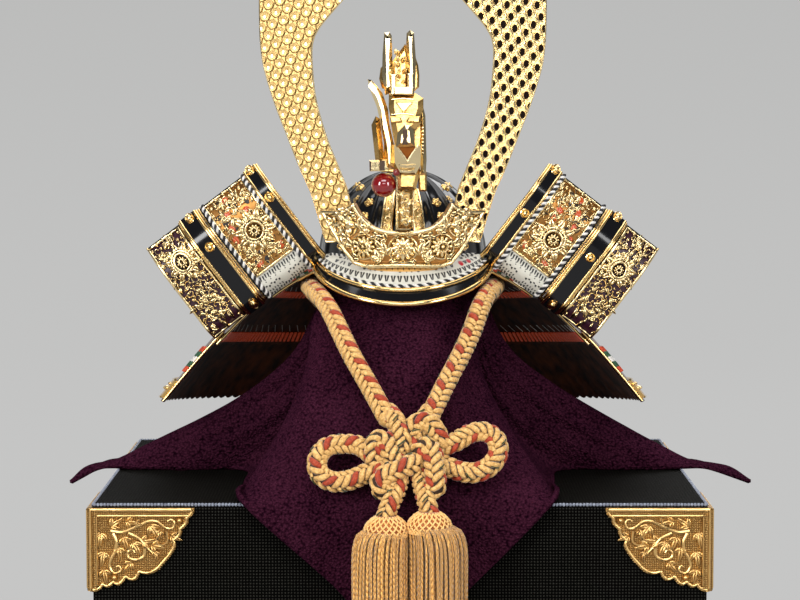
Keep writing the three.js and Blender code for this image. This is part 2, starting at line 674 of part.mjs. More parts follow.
// The dragon that stands in the middle of the crest. It is built up of flat plates, seen from the front.
// Each row gives its outline across and up, and how far its front and back faces stand forward, as shares
// of the dragon's half width, height and depth.
const dragonPlates = [
  { name: 'neck', front: 0.05, back: -0.383, outline: [
    [-0.22, -0.031], [0.4, -0.031], [0.42, 0.219], [0.4, 0.664], [-0.3, 0.664], [-0.22, 0.219],
  ] },
  { name: 'throat', front: 0.5, back: -0.25, outline: [
    [-0.26, 0.278], [0.61, 0.278], [0.58, 0.211], [0.44, 0.128], [-0.18, 0.128], [-0.18, 0.225],
  ] },
  { name: 'right lumps', front: 0.417, back: -0.083, outline: [
    [0.52, 0.241], [0.83, 0.228], [0.84, 0.12], [0.56, 0.12],
  ] },
  { name: 'forehead', front: 0.583, back: -0.25, outline: [
    [-0.49, 0.655], [0.43, 0.656], [0.72, 0.627], [0.71, 0.569], [0.63, 0.527], [0.65, 0.494],
    [0.43, 0.459], [0.39, 0.369], [-0.28, 0.369], [-0.42, 0.487], [-0.44, 0.531], [-0.5, 0.577],
  ] },
  { name: 'nose bridge', front: 0.667, back: 0.417, outline: [
    [-0.26, 0.608], [0.36, 0.608], [0.03, 0.55],
  ] },
  { name: 'left eye', front: 0.7, back: 0.417, outline: [
    [-0.46, 0.531], [-0.09, 0.527], [-0.02, 0.5], [-0.42, 0.494],
  ] },
  { name: 'right eye', front: 0.7, back: 0.417, outline: [
    [0.11, 0.5], [0.21, 0.527], [0.6, 0.531], [0.58, 0.494],
  ] },
  { name: 'snout', front: 1, back: 0.25, outline: [
    [-0.07, 0.462], [0.07, 0.486], [0.24, 0.481], [0.37, 0.456], [0.42, 0.369], [-0.24, 0.363],
    [-0.19, 0.441],
  ] },
  { name: 'jaw', front: 0.833, back: 0.167, outline: [
    [-0.31, 0.377], [-0.19, 0.366], [0.15, 0.286], [0.48, 0.364], [0.64, 0.378], [0.61, 0.262],
    [0.44, 0.217], [-0.09, 0.223], [-0.28, 0.278],
  ] },
  { name: 'left horn', front: 0.292, back: -0.042, outline: [
    [-0.65, 0.984], [-0.47, 0.989], [-0.39, 0.969], [-0.35, 0.763], [-0.33, 0.666], [-0.61, 0.644],
    [-0.73, 0.755], [-0.71, 0.867],
  ] },
  { name: 'right horn', front: 0.292, back: -0.042, outline: [
    [0.13, 0.981], [0.25, 1], [0.39, 0.984], [0.46, 0.83], [0.43, 0.672], [0.18, 0.672], [0.11, 0.897],
  ] },
  { name: 'mane', front: 0.217, back: -0.083, outline: [
    [-0.39, 0.823], [-0.09, 0.888], [0.08, 0.925], [0.2, 0.873], [0.2, 0.678], [-0.39, 0.656],
  ] },
  { name: 'left mane', front: 0.133, back: -0.117, outline: [
    [-0.78, 0.792], [-0.68, 0.808], [-0.56, 0.677], [-0.73, 0.681], [-0.83, 0.733],
  ] },
  { name: 'right mane', front: 0.133, back: -0.117, outline: [
    [0.4, 0.873], [0.54, 0.808], [0.58, 0.755], [0.57, 0.688], [0.37, 0.661],
  ] },
  { name: 'left frame', front: 0.5, back: 0.167, outline: [
    [-0.43, 0.758], [-0.23, 0.758], [-0.23, 0.65], [-0.43, 0.641],
  ] },
  { name: 'right frame', front: 0.5, back: 0.167, outline: [
    [0.16, 0.763], [0.37, 0.763], [0.4, 0.647], [0.17, 0.642],
  ] },
  { name: 'brow bar', front: 0.667, back: 0.167, outline: [
    [-0.33, 0.689], [0.37, 0.689], [0.37, 0.647], [-0.33, 0.647],
  ] },
  { name: 'left blade', front: 0.383, back: 0.083, outline: [
    [-1.24, 0.731], [-1.1, 0.728], [-0.72, 0.658], [-0.52, 0.569], [-0.47, 0.487], [-0.32, 0.383],
    [-0.24, 0.241], [-0.5, 0.236], [-0.68, 0.241], [-0.66, 0.383], [-0.9, 0.577], [-1.13, 0.666],
  ] },
  { name: 'left prong', front: 0.5, back: 0.25, outline: [
    [-1.1, 0.483], [-0.95, 0.531], [-0.8, 0.516], [-0.65, 0.308], [-0.54, 0.272], [-0.95, 0.272],
    [-1.03, 0.383],
  ] },
  { name: 'collar', front: 0.617, back: 0.133, outline: [
    [-1.17, 0.291], [-0.54, 0.297], [-0.48, 0.244], [-0.71, 0.231], [-1.16, 0.231],
  ] },
  { name: 'right fin', front: 0.417, back: 0.05, outline: [
    [0.61, 0.627], [0.72, 0.631], [0.72, 0.577], [0.79, 0.531], [0.83, 0.292], [0.8, 0.214],
    [0.62, 0.211], [0.61, 0.308], [0.54, 0.323], [0.62, 0.434], [0.6, 0.531],
  ] },
];

const dragonPoint = ([across, forward, up]) => vec(
  across * dragon.halfWidth, -dragon.stand - forward * dragon.depth, dragon.foot + up * dragon.height,
);

function dragonSolid() {
  const bars = dragonPlates.map(({ front, back, outline }) => {
    const places = outline.map(([across, up]) => new THREE.Vector2(
      across * dragon.halfWidth, dragon.foot + up * dragon.height,
    ));
    const form = { depth: (front - back) * dragon.depth, bevelEnabled: false };
    const solid = new THREE.ExtrudeGeometry(new THREE.Shape(places), form);
    return solid.rotateX(Math.PI / 2).translate(0, -dragon.stand - back * dragon.depth, 0);
  });
  // The stem hooks over the notch of the crest base and reaches down behind it.
  const back = -crestBase.stand + gap + stem.thickness;
  const bridge = dragon.stand + back;
  const notch = crestFoot + crestBase.height * crestNotch + crestBase.lift;
  bars.push(box(stem.width, bridge, stem.bridge, 0, back - bridge / 2, notch + stem.bridge / 2));
  const drop = stem.drop + stem.bridge;
  const stemTop = notch + stem.bridge;
  bars.push(box(stem.width, stem.thickness, drop, 0, back - stem.thickness / 2, stemTop - drop / 2));
  return joined(bars);
}

addPiece(helmet, 'dragon_crest', dragonSolid(), gold());
const jewelPlace = dragonPoint([-0.67, 0.25, 0.155]);
const jewel = new THREE.SphereGeometry(dragon.jewelRadius, 12, 8).translate(...jewelPlace.toArray());
addPiece(helmet, 'dragon_jewel', jewel, redGlass());

// The turned-out wings. along runs from the bowl outwards and across from the upper edge down to the
// fold, both in millimetres. The face curls back at its upper edge and at its fold.

function wingPoint(along, across) {
  const slope = wing.slope * degrees;
  const share = across / wing.breadth;
  const curl = wingForm.curlBack * Math.max(0, 1 - share / wingForm.curlShare) ** 2;
  const footTurn = Math.max(0, (share - 1 + wingForm.footShare) / wingForm.footShare);
  const foot = wingForm.footBack * footTurn ** 1.5;
  return vec(
    wing.innerOut + along * Math.cos(slope) - across * Math.sin(slope),
    -wing.stand + wing.sweep * along + curl + foot,
    wing.innerUp - along * Math.sin(slope) - across * Math.cos(slope),
  );
}

const panel = (low, high, under, over, top = 0, bottom = wing.breadth, columns = wingGrid.columns) => slab(
  (u, v) => wingPoint(low + (high - low) * u, top + (bottom - top) * v),
  columns, wingGrid.rows, -over, -under,
);

const upperEnd = wingForm.split - gap;
const lowerEnd = wing.length;
const faceUnder = wingPlate.thickness + gap;

const plateBottom = wing.breadth * (1 - wingForm.footShare) - 1;
// A relief plate lies on the panel's face, inside its bands and edges.
function reliefPlate(low, high) {
  const over = faceUnder + wingPlate.relief;
  return panel(low, high, faceUnder, over, wingPlate.margin, plateBottom, wingGrid.plateColumns);
}

// The lower relief is openwork: rows of leaf-shaped holes are cut through it.
function openworkPlate(low, high) {
  const plate = reliefPlate(low, high);
  const holes = [];
  const top = wingPlate.margin + 1.5;
  const bottom = plateBottom - 2;
  const pitch = { along: (high - low) / pierce.across, across: (bottom - top) / pierce.along };
  for (let j = 0; j < pierce.along; j += 1) {
    for (let i = 0; i < pierce.across; i += 1) {
      const along = low + (i + 0.5) * pitch.along;
      const across = top + (j + 0.5) * pitch.across;
      const depth = 8 * wingPlate.relief;
      const radius = (Math.min(pitch.along, pitch.across) / 2) * pierce.share * (1 + 0.25 * ((i + j) % 2));
      const hole = new THREE.CylinderGeometry(radius, radius, depth, 4);
      holes.push(hole.translate(...wingPoint(along, across).toArray()));
    }
  }
  return cutBy(plate, holes);
}

const upperPanel = panel(0, upperEnd, 0, wingPlate.thickness);
const upperRelief = reliefPlate(wingPlate.band, upperEnd - wingPlate.margin);
const lowerPanel = panel(wingForm.split, lowerEnd, 0, wingPlate.thickness);
const lowerOpenwork = openworkPlate(wingForm.split + wingPlate.lowerBand, lowerEnd - wingPlate.margin / 2);
const rightWing = [
  { name: 'wing_upper', geometry: upperPanel, material: lacquer },
  { name: 'wing_upper_relief', geometry: upperRelief, material: gold },
  { name: 'wing_lower', geometry: lowerPanel, material: lacquer },
  { name: 'wing_lower_openwork', geometry: lowerOpenwork, material: gold },
];
for (const { name, geometry, material } of rightWing) {
  addPiece(helmet, `${name}_right`, geometry, material());
  addPiece(helmet, `${name}_left`, mirrored(geometry), material());
}

// The neck guard: umbrella-shaped lames, each of which laps over the one above it.

function guardHeight(reach) {
  const share = Math.max(0, (reach - guardTop) / (guard.bottom - guardTop));
  return bowl.rimHeight - bowl.skirt + guard.seat - guard.height * share ** guard.curve;
}

// The lames end in front just behind the folds of the wings.
const guardFront = wing.stand - wingForm.footBack - 2 * gap;
function guardPoint(turn, reach) {
  const sweep = (wing.sweep * (reach - guardTop)) / Math.cos(wing.slope * degrees);
  const front = Math.asin(Math.min(1, (guardFront - sweep) / reach));
  const angle = (turn * 2 - 1) * (Math.PI / 2 + front);
  const y = reach * Math.cos(angle);
  // The upper edge follows the bowl, which is narrower than it is deep.
  const inward = Math.max(0, (guard.bottom - reach) / (guard.bottom - guardTop));
  const narrow = (bowl.halfDepth - bowl.halfWidth) * inward;
  return vec((reach - narrow) * Math.sin(angle), y, guardHeight(reach) - guard.tilt * (y + guardFront));
}

function lameSolid(index) {
  const pitch = (guard.bottom - guardTop) / guard.lames;
  const low = guardTop + pitch * index - (index > 0 ? lame.lap : 0);
  const high = guardTop + pitch * (index + 1);
  const point = (u, v) => {
    const p = guardPoint(u, low + (high - low) * v);
    p.z += index > 0 ? lame.lift * (1 - v) : 0;
    return p;
  };
  return slab(point, lame.columns, lame.rows, 0, lame.thickness);
}

for (let k = 0; k < guard.lames; k += 1) {
  addPiece(helmet, `shikoro_lame_${k + 1}`, lameSolid(k), redLacquer());
}

// The chin cord: from the knot up the left side, round the back under the bowl's rim, and down the right
// side to the knot again. Its points are chosen by hand, above the chest's top.
const cordRoute = [
  [-4.3, -78.8, 29], [-11, -69.8, 40], [-16.6, -61.8, 48.8], [-21, -52.8, 56.6], [-25, -42.6, 63.4],
  [-29.2, -31, 67.6], [-32.4, -17, 69], [-33.2, 0, 68.6], [-32.6, 16, 65.2], [-28, 30, 60],
  [-14.5, 38.6, 58.4], [1, 41, 58], [16.5, 38.6, 58.4], [30, 30, 60], [34.6, 16, 65.2],
  [35.2, 0, 68.6], [34, -17, 69], [31, -31, 67.6], [28.2, -42.6, 63.4], [25.2, -52.8, 56.6],
  [21, -61.8, 48.8], [15.8, -69.8, 40], [9.8, -78.8, 29],
];
const chinCord = tube(cordRoute.map((p) => vec(...p)), cord.radius, cord.sides, cord.steps);
addPiece(onChest, 'chin_cord', chinCord, braid());

// The knot: a cluster of crossings, two side loops and the two ends that run down to the tassels.
const knot = { stand: 85.1, middle: 16, lean: 0.5 };
const knotPoint = ([x, out, z]) => vec(x, -knot.stand - out + knot.lean * (z - knot.middle), z);
const knotLobes = [
  { at: [6.8, 1.5, 25.4], radius: 5 },
  { at: [0, 2.5, 22], radius: 4.6 },
  { at: [-7, 1.5, 20.6], radius: 5 },
  { at: [-1.7, 2.2, 10.8], radius: 5.4 },
  { at: [10.6, 1.5, 13.8], radius: 5.4 },
  { at: [3.4, 0, 17], radius: 5.4 },
];
const knotLoops = [
  [[-6, 0, 17], [-14, 1, 21], [-22, 1.5, 21], [-28, 1, 15.5], [-25, 1, 9.2], [-16, 1, 8.4], [-7, 0, 12.6]],
  [[12, 0, 16], [19, 1, 21], [27, 1.5, 25], [33.4, 1, 20], [30.4, 1, 13.6], [21, 1, 11], [12, 0, 12.6]],
];
const knotEnds = [
  [[-1, 0, 10], [-2.4, 3, 4], [-4.4, 6.5, 1.2]],
  [[8, 0, 10], [8.4, 3, 4], [9.6, 6.5, 1.4]],
];

function knotSolid() {
  const lobes = knotLobes.map(({ at, radius }) => (
    new THREE.SphereGeometry(radius, 7, 5).translate(...knotPoint(at).toArray())
  ));
  const loops = knotLoops.map((loop) => tube(loop.map(knotPoint), cord.radius, cord.knotSides, 11));
  const ends = knotEnds.map((end) => tube(end.map(knotPoint), cord.radius * 0.94, cord.knotSides, 4));
  return joined([...lobes, ...loops, ...ends]);
}

addPiece(onChest, 'cord_knot', knotSolid(), braid());

// A tassel: a netted head and a skirt of twisted locks that widens a little towards its end.
function tasselSolid() {
  const columns = tassel.locks * 3;
  const levels = [
    { fall: 0, reach: 0.42, locks: 0 },
    { fall: 0.3, reach: 0.66, locks: 0 },
    { fall: 1, reach: 0.72, locks: 0 },
    { fall: 1.15, reach: 0.78, locks: 1 },
    { fall: 2.1, reach: 0.95, locks: 1 },
    { fall: 4.5, reach: 1, locks: 1 },
    { fall: 1 + tassel.skirtLength / tassel.headHeight, reach: 0.97, locks: 1.2 },
  ];
  const positions = [];
  const indices = [];
  for (const { fall, reach, locks } of levels) {
    for (let i = 0; i < columns; i += 1) {
      const angle = (2 * Math.PI * i) / columns;
      const groove = i % 3 === 0 ? 1 - tassel.lockDepth * 2 * locks : 1;
      const radius = tassel.skirtRadius * reach * groove;
      positions.push(radius * Math.cos(angle), radius * Math.sin(angle), -fall * tassel.headHeight);
    }
  }
  for (let j = 0; j < levels.length - 1; j += 1) {
    for (let i = 0; i < columns; i += 1) {
      const next = (i + 1) % columns;
      const [a, b] = [j * columns + i, j * columns + next];
      indices.push(a, a + columns, b, b, a + columns, b + columns);
    }
  }
  const top = positions.push(0, 0, 0) / 3 - 1;
  const bottom = positions.push(0, 0, -(tassel.headHeight + tassel.skirtLength)) / 3 - 1;
  const last = (levels.length - 1) * columns;
  for (let i = 0; i < columns; i += 1) {
    const next = (i + 1) % columns;
    indices.push(top, i, next, bottom, last + next, last + i);
  }
  return fromTriangles(positions, indices);
}

const tasselStand = 99;
const tasselPlaces = [
  { name: 'tassel_left', x: -7, z: -2.6 },
  { name: 'tassel_right', x: 13.2, z: -1.9 },
];
for (const { name, x, z } of tasselPlaces) {
  addPiece(onChest, name, moved(tasselSolid(), x, -tasselStand, z), braid());
}

export default group;
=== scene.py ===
import math

import bpy
import numpy as np
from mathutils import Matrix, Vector
from mathutils.geometry import delaunay_2d_cdt


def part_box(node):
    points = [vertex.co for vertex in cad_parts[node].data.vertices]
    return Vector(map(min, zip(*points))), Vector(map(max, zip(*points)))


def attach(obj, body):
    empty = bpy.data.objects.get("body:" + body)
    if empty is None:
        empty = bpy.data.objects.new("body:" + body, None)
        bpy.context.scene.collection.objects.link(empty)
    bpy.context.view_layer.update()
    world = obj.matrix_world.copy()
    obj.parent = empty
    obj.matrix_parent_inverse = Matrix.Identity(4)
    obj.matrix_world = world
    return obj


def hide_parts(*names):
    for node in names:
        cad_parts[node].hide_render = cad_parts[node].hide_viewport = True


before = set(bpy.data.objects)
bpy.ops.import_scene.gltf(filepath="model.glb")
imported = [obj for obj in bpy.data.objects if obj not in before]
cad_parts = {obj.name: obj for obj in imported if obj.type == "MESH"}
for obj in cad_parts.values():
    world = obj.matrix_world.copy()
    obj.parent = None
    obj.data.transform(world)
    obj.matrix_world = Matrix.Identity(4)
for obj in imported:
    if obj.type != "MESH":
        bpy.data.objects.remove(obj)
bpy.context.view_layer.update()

# Sizes in millimetres. The origin is the middle of the board's underside and the helmet faces -Y.
MM = 0.001
CHEST_TOP = 112.3
HELMET = np.array([1.0, 0.0, CHEST_TOP])
CHEST = np.array([0.0, 0.0, CHEST_TOP])
GAP = 0.3
DEGREES = math.pi / 180
CHEST_HALF = (105.0, 82.5)
BOWL = {"half_width": 30.4, "half_depth": 33.5, "rise": 32.6, "rim": 79.0, "skirt": 4.0, "wall": 1.6}

# Camera

CAMERA = {"y": -0.9625, "z": 0.2533, "pitch": 4.61, "lens": 117.09, "sensor": 36}
camera_data = bpy.data.cameras.new("camera")
camera_data.lens = CAMERA["lens"]
camera_data.sensor_width = CAMERA["sensor"]
camera_data.clip_start = 0.01
camera = bpy.data.objects.new("camera", camera_data)
camera.location = (0, CAMERA["y"], CAMERA["z"])
camera.rotation_euler = ((90 - CAMERA["pitch"]) * DEGREES, 0, 0)
bpy.context.scene.collection.objects.link(camera)
bpy.context.scene.camera = camera

# Materials


class Nodes:
    """A material's node tree with short calls."""

    def __init__(self, name, color, roughness, metallic=0.0, **sockets):
        self.material = bpy.data.materials.new(name)
        self.material.use_nodes = True
        self.tree = self.material.node_tree
        self.shader = self.tree.nodes["Principled BSDF"]
        self.shader.inputs["Base Color"].default_value = (*color, 1)
        self.shader.inputs["Roughness"].default_value = roughness
        self.shader.inputs["Metallic"].default_value = metallic
        for key, value in sockets.items():
            self.shader.inputs[key.replace("_", " ")].default_value = value

    def link(self, source, target):
        self.tree.links.new(source, target)

    def place(self, kind="Object"):
        node = self.tree.nodes.new("ShaderNodeTexCoord")
        return node.outputs[kind]

    def scaled(self, source, scale, rotation=(0, 0, 0)):
        node = self.tree.nodes.new("ShaderNodeMapping")
        node.inputs["Scale"].default_value = scale
        node.inputs["Rotation"].default_value = rotation
        self.link(source, node.inputs["Vector"])
        return node.outputs["Vector"]

    def noise(self, source, scale, detail=3.0, rough=0.5):
        node = self.tree.nodes.new("ShaderNodeTexNoise")
        node.inputs["Scale"].default_value = scale
        node.inputs["Detail"].default_value = detail
        node.inputs["Roughness"].default_value = rough
        self.link(source, node.inputs["Vector"])
        return node.outputs["Fac"]

    def cells(self, source, scale, feature="F1"):
        node = self.tree.nodes.new("ShaderNodeTexVoronoi")
        node.feature = feature
        node.inputs["Scale"].default_value = scale
        self.link(source, node.inputs["Vector"])
        return node.outputs["Distance"]

    def math(self, operation, a, b=None):
        node = self.tree.nodes.new("ShaderNodeMath")
        node.operation = operation
        for k, value in enumerate([a, b]):
            if value is None:
                continue
            if isinstance(value, (int, float)):
                node.inputs[k].default_value = value
            else:
                self.link(value, node.inputs[k])
        return node.outputs[0]

    def split(self, source):
        node = self.tree.nodes.new("ShaderNodeSeparateXYZ")
        self.link(source, node.inputs[0])
        return node.outputs

    def blend(self, factor, low, high):
        """A colour between two, by a factor."""
        node = self.tree.nodes.new("ShaderNodeMix")
        node.data_type = "RGBA"
        self.link(factor, node.inputs["Factor"])
        for name, value in (("A", low), ("B", high)):
            socket = [s for s in node.inputs if s.name == name and s.type == "RGBA"][0]
            if isinstance(value, tuple):
                socket.default_value = (*value, 1)
            else:
                self.link(value, socket)
        return [s for s in node.outputs if s.type == "RGBA"][0]

    def range(self, source, low, high, to_low=0.0, to_high=1.0):
        node = self.tree.nodes.new("ShaderNodeMapRange")
        for name, value in (
            ("From Min", low), ("From Max", high), ("To Min", to_low), ("To Max", to_high),
        ):
            node.inputs[name].default_value = value
        self.link(source, node.inputs["Value"])
        return node.outputs[0]

    def color(self, source):
        self.link(source, self.shader.inputs["Base Color"])

    def roughness(self, source):
        self.link(source, self.shader.inputs["Roughness"])

    def painted_crevice_shade(self, reach, low=0.15, high=0.75):
        """0 in places that their surroundings shade closely and 1 in open ones."""
        node = self.tree.nodes.new("ShaderNodeAmbientOcclusion")
        node.samples = 6
        node.inputs["Distance"].default_value = reach
        return self.range(node.outputs["AO"], low, high)

    def bump(self, height, distance, strength=1.0):
        node = self.tree.nodes.new("ShaderNodeBump")
        node.inputs["Distance"].default_value = distance
        node.inputs["Strength"].default_value = strength
        self.link(height, node.inputs["Height"])
        self.link(node.outputs["Normal"], self.shader.inputs["Normal"])
        return node


def gold_material(name, color, roughness, grain=0.02, patina=(0.42, 0.2, 0.06), shade_reach=0.0):
    """Gilt metal with faint uneven polish. When a reach is given, shade is painted into its recesses as a
    dark brown.
    """
    nodes = Nodes(name, color, roughness, 1.0)
    place = nodes.place()
    cloud = nodes.noise(place, 160, 4)
    tone = nodes.blend(nodes.range(cloud, 0.3, 0.75), color, patina_mix(color, patina))
    # Painted shade: the colour turns dark brown where nearby surfaces close in.
    if shade_reach:
        tone = nodes.blend(nodes.painted_crevice_shade(shade_reach * MM), (0.07, 0.025, 0.006), tone)
    nodes.color(tone)
    nodes.roughness(nodes.range(nodes.noise(place, 420, 3), 0.3, 0.7, roughness * 0.75, roughness * 1.35))
    if grain:
        nodes.bump(nodes.noise(place, 900, 2), grain * MM)
    return nodes.material


def patina_mix(color, patina, share=0.18):
    return tuple(c * (1 - share) + p * share for c, p in zip(color, patina))


GOLD = (0.86, 0.58, 0.22)
gold = gold_material("gold", GOLD, 0.2)
# bright_gold, relief_gold and fitting_gold have shade painted into their recesses.
bright_gold = gold_material("bright_gold", (0.97, 0.77, 0.42), 0.2, 0.0, shade_reach=1.4)
relief_gold = gold_material("relief_gold", (0.84, 0.54, 0.19), 0.23, 0.03, shade_reach=1.4)
fitting_gold = gold_material("fitting_gold", (0.78, 0.5, 0.19), 0.3, 0.03, shade_reach=1.0)
edge_gold = gold_material("edge_gold", (0.9, 0.64, 0.28), 0.12, 0.0)
ground_gold = gold_material("ground_gold", (0.38, 0.18, 0.05), 0.36, 0.03)
# A near black gold for the inside of the open mouth: painted shade.
mouth_shade_gold = gold_material("mouth_shade_gold", (0.2, 0.06, 0.012), 0.5)
dragon_gold = gold_material("dragon_gold", (0.98, 0.80, 0.46), 0.2, 0.01)
# Near black for the dragon's slot and grooves: painted shade.
dragon_groove_shade = Nodes("dragon_groove_shade", (0.05, 0.02, 0.005), 0.6).material


def lacquer_material(name, color, roughness=0.1, coat=0.15, shine=0.3):
    """Lacquer: glossy, with a very shallow waviness."""
    nodes = Nodes(name, color, roughness, Coat_Weight=coat, Coat_Roughness=0.05, Specular_IOR_Level=shine)
    place = nodes.place()
    nodes.roughness(nodes.range(nodes.noise(place, 90, 4), 0.35, 0.7, roughness * 0.7, roughness * 1.6))
    nodes.bump(nodes.noise(place, 160, 2), 0.02 * MM)
    return nodes.material


black_lacquer = lacquer_material("black_lacquer", (0.004, 0.004, 0.005))
board_lacquer = lacquer_material("board_lacquer", (0.005, 0.005, 0.006), 0.06, 0.6, 0.5)
# Near black brown for patches low in the wing relief's ground: painted shade in its recesses.
painted_recess_shade = Nodes("painted_recess_shade", (0.012, 0.006, 0.003), 0.5).material


def silk_material(name, color, dark, twist=None, shade_reach=0.0, painted_glow=0.0):
    """Silk thread: a soft sheen and fine fibres along the thread. Shade is painted into the grooves of a
    twist and, when a reach is given, into its crevices. A glow adds painted light: the thread gives off a
    little light of its own.
    """
    # The emission is painted light, set by the glow.
    nodes = Nodes(
        name, color, 0.55, Sheen_Weight=0.35, Sheen_Roughness=0.4, Specular_IOR_Level=0.35,
        Emission_Color=(*color, 1), Emission_Strength=painted_glow,
    )
    place = nodes.place()
    fibre = nodes.noise(place, 1300, 2)
    shade = nodes.blend(nodes.range(fibre, 0.3, 0.7), color, dark)
    if twist:
        across, along, _ = nodes.split(nodes.place("UV"))
        start = nodes.math("MULTIPLY", nodes.noise(nodes.scaled(place, (1, 1, 0.01)), 900, 1), 6)
        phase = nodes.math("ADD", nodes.math("MULTIPLY", across, 2), nodes.math("MULTIPLY", along, twist))
        phase = nodes.math("ADD", phase, start)
        wave = nodes.math("SINE", nodes.math("MULTIPLY", phase, 2 * math.pi))
        nodes.bump(wave, 0.18 * MM)
        # Painted shade: the grooves of the twist are coloured dark.
        shade = nodes.blend(nodes.range(wave, -1.1, -0.1), dark, color)
    else:
        nodes.bump(fibre, 0.12 * MM)
    # Painted shade in the crevices.
    if shade_reach:
        shade = nodes.blend(nodes.painted_crevice_shade(shade_reach * MM), tuple(0.25 * c for c in dark), shade)
    nodes.color(shade)
    return nodes.material


# cord_gold and tassel_thread have shade painted into their crevices, and tassel_thread also into its twist.
cord_gold = silk_material("cord_gold", (0.84, 0.53, 0.19), (0.50, 0.25, 0.06), shade_reach=1.6)
cord_red = silk_material("cord_red", (0.46, 0.06, 0.015), (0.26, 0.025, 0.006))
cord_green = silk_material("cord_green", (0.07, 0.085, 0.02), (0.03, 0.03, 0.01))
# The braid's core is near black: painted shade in the gaps between its floats.
cord_core_shade = Nodes("cord_core_shade", (0.035, 0.014, 0.003), 0.8).material
tassel_thread = silk_material(
    "tassel_thread", (0.95, 0.50, 0.125), (0.45, 0.16, 0.025), twist=1.0, shade_reach=1.2,
)
tassel_net = silk_material("tassel_net", (0.98, 0.66, 0.26), (0.80, 0.40, 0.10))
tassel_cushion = silk_material("tassel_cushion", (0.50, 0.16, 0.03), (0.30, 0.07, 0.01))
edging_white = silk_material("edging_white", (0.82, 0.80, 0.76), (0.55, 0.53, 0.5))
edging_black = silk_material("edging_black", (0.012, 0.011, 0.015), (0.004, 0.004, 0.006))
# The red lacing glows faintly: painted light for lacing that lies in shade under the lames.
lacing_red_painted_glow = silk_material("lacing_red_painted_glow", (0.6, 0.07, 0.02), (0.3, 0.025, 0.008), painted_glow=0.12)
lacing_green = silk_material("lacing_green", (0.03, 0.11, 0.05), (0.01, 0.05, 0.02))
# The pale blue-grey of the lid's stitches is a painted highlight along its edge.
piping_highlight_thread = silk_material("piping_highlight_thread", (0.30, 0.33, 0.40), (0.10, 0.11, 0.15))


def crepe_material():
    """Purple crepe: a pebbled, wrinkled weave with a soft violet sheen and shade painted into its hollows."""
    deep = (0.006, 0.0008, 0.0035)
    light = (0.058, 0.0125, 0.028)
    nodes = Nodes(
        "purple_crepe", light, 0.85, Sheen_Weight=0.035, Sheen_Roughness=0.4,
        Sheen_Tint=(0.5, 0.12, 0.34, 1), Specular_IOR_Level=0.0,
    )
    place = nodes.place()
    pebble = nodes.cells(nodes.scaled(place, (1, 1, 1.1)), 1050)
    wrinkle = nodes.noise(nodes.scaled(place, (0.7, 0.7, 1.1)), 1200, 4, 0.6)
    height = nodes.math("SUBTRACT", nodes.math("MULTIPLY", wrinkle, 1.1), pebble)
    cloud = nodes.noise(place, 60, 3)
    # Painted shade: the colour follows the height, darker in the hollows of pebbles and wrinkles.
    tone = nodes.math("ADD", nodes.range(height, -0.4, 0.5), nodes.range(cloud, 0.3, 0.7, -0.15, 0.15))
    nodes.color(nodes.blend(tone, deep, light))
    nodes.bump(height, 0.9 * MM)
    return nodes.material


def chest_material():
    """Coarse black cloth over the chest: a plain weave with painted glints on the thread crowns and painted
    shade between the threads.
    """
    nodes = Nodes("chest_cloth", (0.012, 0.013, 0.018), 0.65, Specular_IOR_Level=0.02)
    x, y, z = nodes.split(nodes.place())
    pitch = 1.08 * MM
    turn = 2 * math.pi / pitch
    across = nodes.math("SINE", nodes.math("MULTIPLY", nodes.math("ADD", x, y), turn))
    up = nodes.math("SINE", nodes.math("MULTIPLY", nodes.math("ADD", z, y), turn))
    weave = nodes.math("MULTIPLY", nodes.range(across, -1, 1), nodes.range(up, -1, 1))
    uneven = nodes.noise(nodes.place(), 1400, 3)
    height = nodes.math("ADD", weave, nodes.math("MULTIPLY", uneven, 0.5))
    # Painted highlight and shade: the crowns of the weave are coloured pale, the gaps near black.
    nodes.color(nodes.blend(nodes.range(height, 0.45, 1.2), (0.0006, 0.0005, 0.0003), (0.03, 0.029, 0.024)))
    nodes.bump(height, 0.3 * MM)
    return nodes.material


def wood_material():
    nodes = Nodes("post_wood", (0.5, 0.33, 0.18), 0.6)
    grain = nodes.noise(nodes.scaled(nodes.place(), (60, 60, 5)), 6, 5)
    nodes.color(nodes.blend(nodes.range(grain, 0.3, 0.7), (0.36, 0.2, 0.09), (0.58, 0.4, 0.22)))
    nodes.bump(grain, 0.1 * MM)
    return nodes.material


def leather_material():
    """White printed leather with a fine grain."""
    nodes = Nodes("printed_leather", (0.6, 0.58, 0.5), 0.42)
    grain = nodes.cells(nodes.place(), 2400)
    nodes.color(nodes.blend(nodes.noise(nodes.place(), 300, 3), (0.5, 0.48, 0.4), (0.7, 0.68, 0.6)))
    nodes.bump(grain, 0.03 * MM)
    return nodes.material


def inner_material():
    """The unpolished inside of a lame: dark brown lacquer over upright rows of small plates."""
    nodes = Nodes("inner_lacquer", (0.01, 0.003, 0.001), 0.6, Specular_IOR_Level=0.12)
    cloud = nodes.noise(nodes.scaled(nodes.place(), (1, 1, 0.3)), 240, 4)
    nodes.color(nodes.blend(nodes.range(cloud, 0.35, 0.7), (0.02, 0.005, 0.0015), (0.15, 0.036, 0.009)))
    nodes.bump(cloud, 0.3 * MM)
    return nodes.material


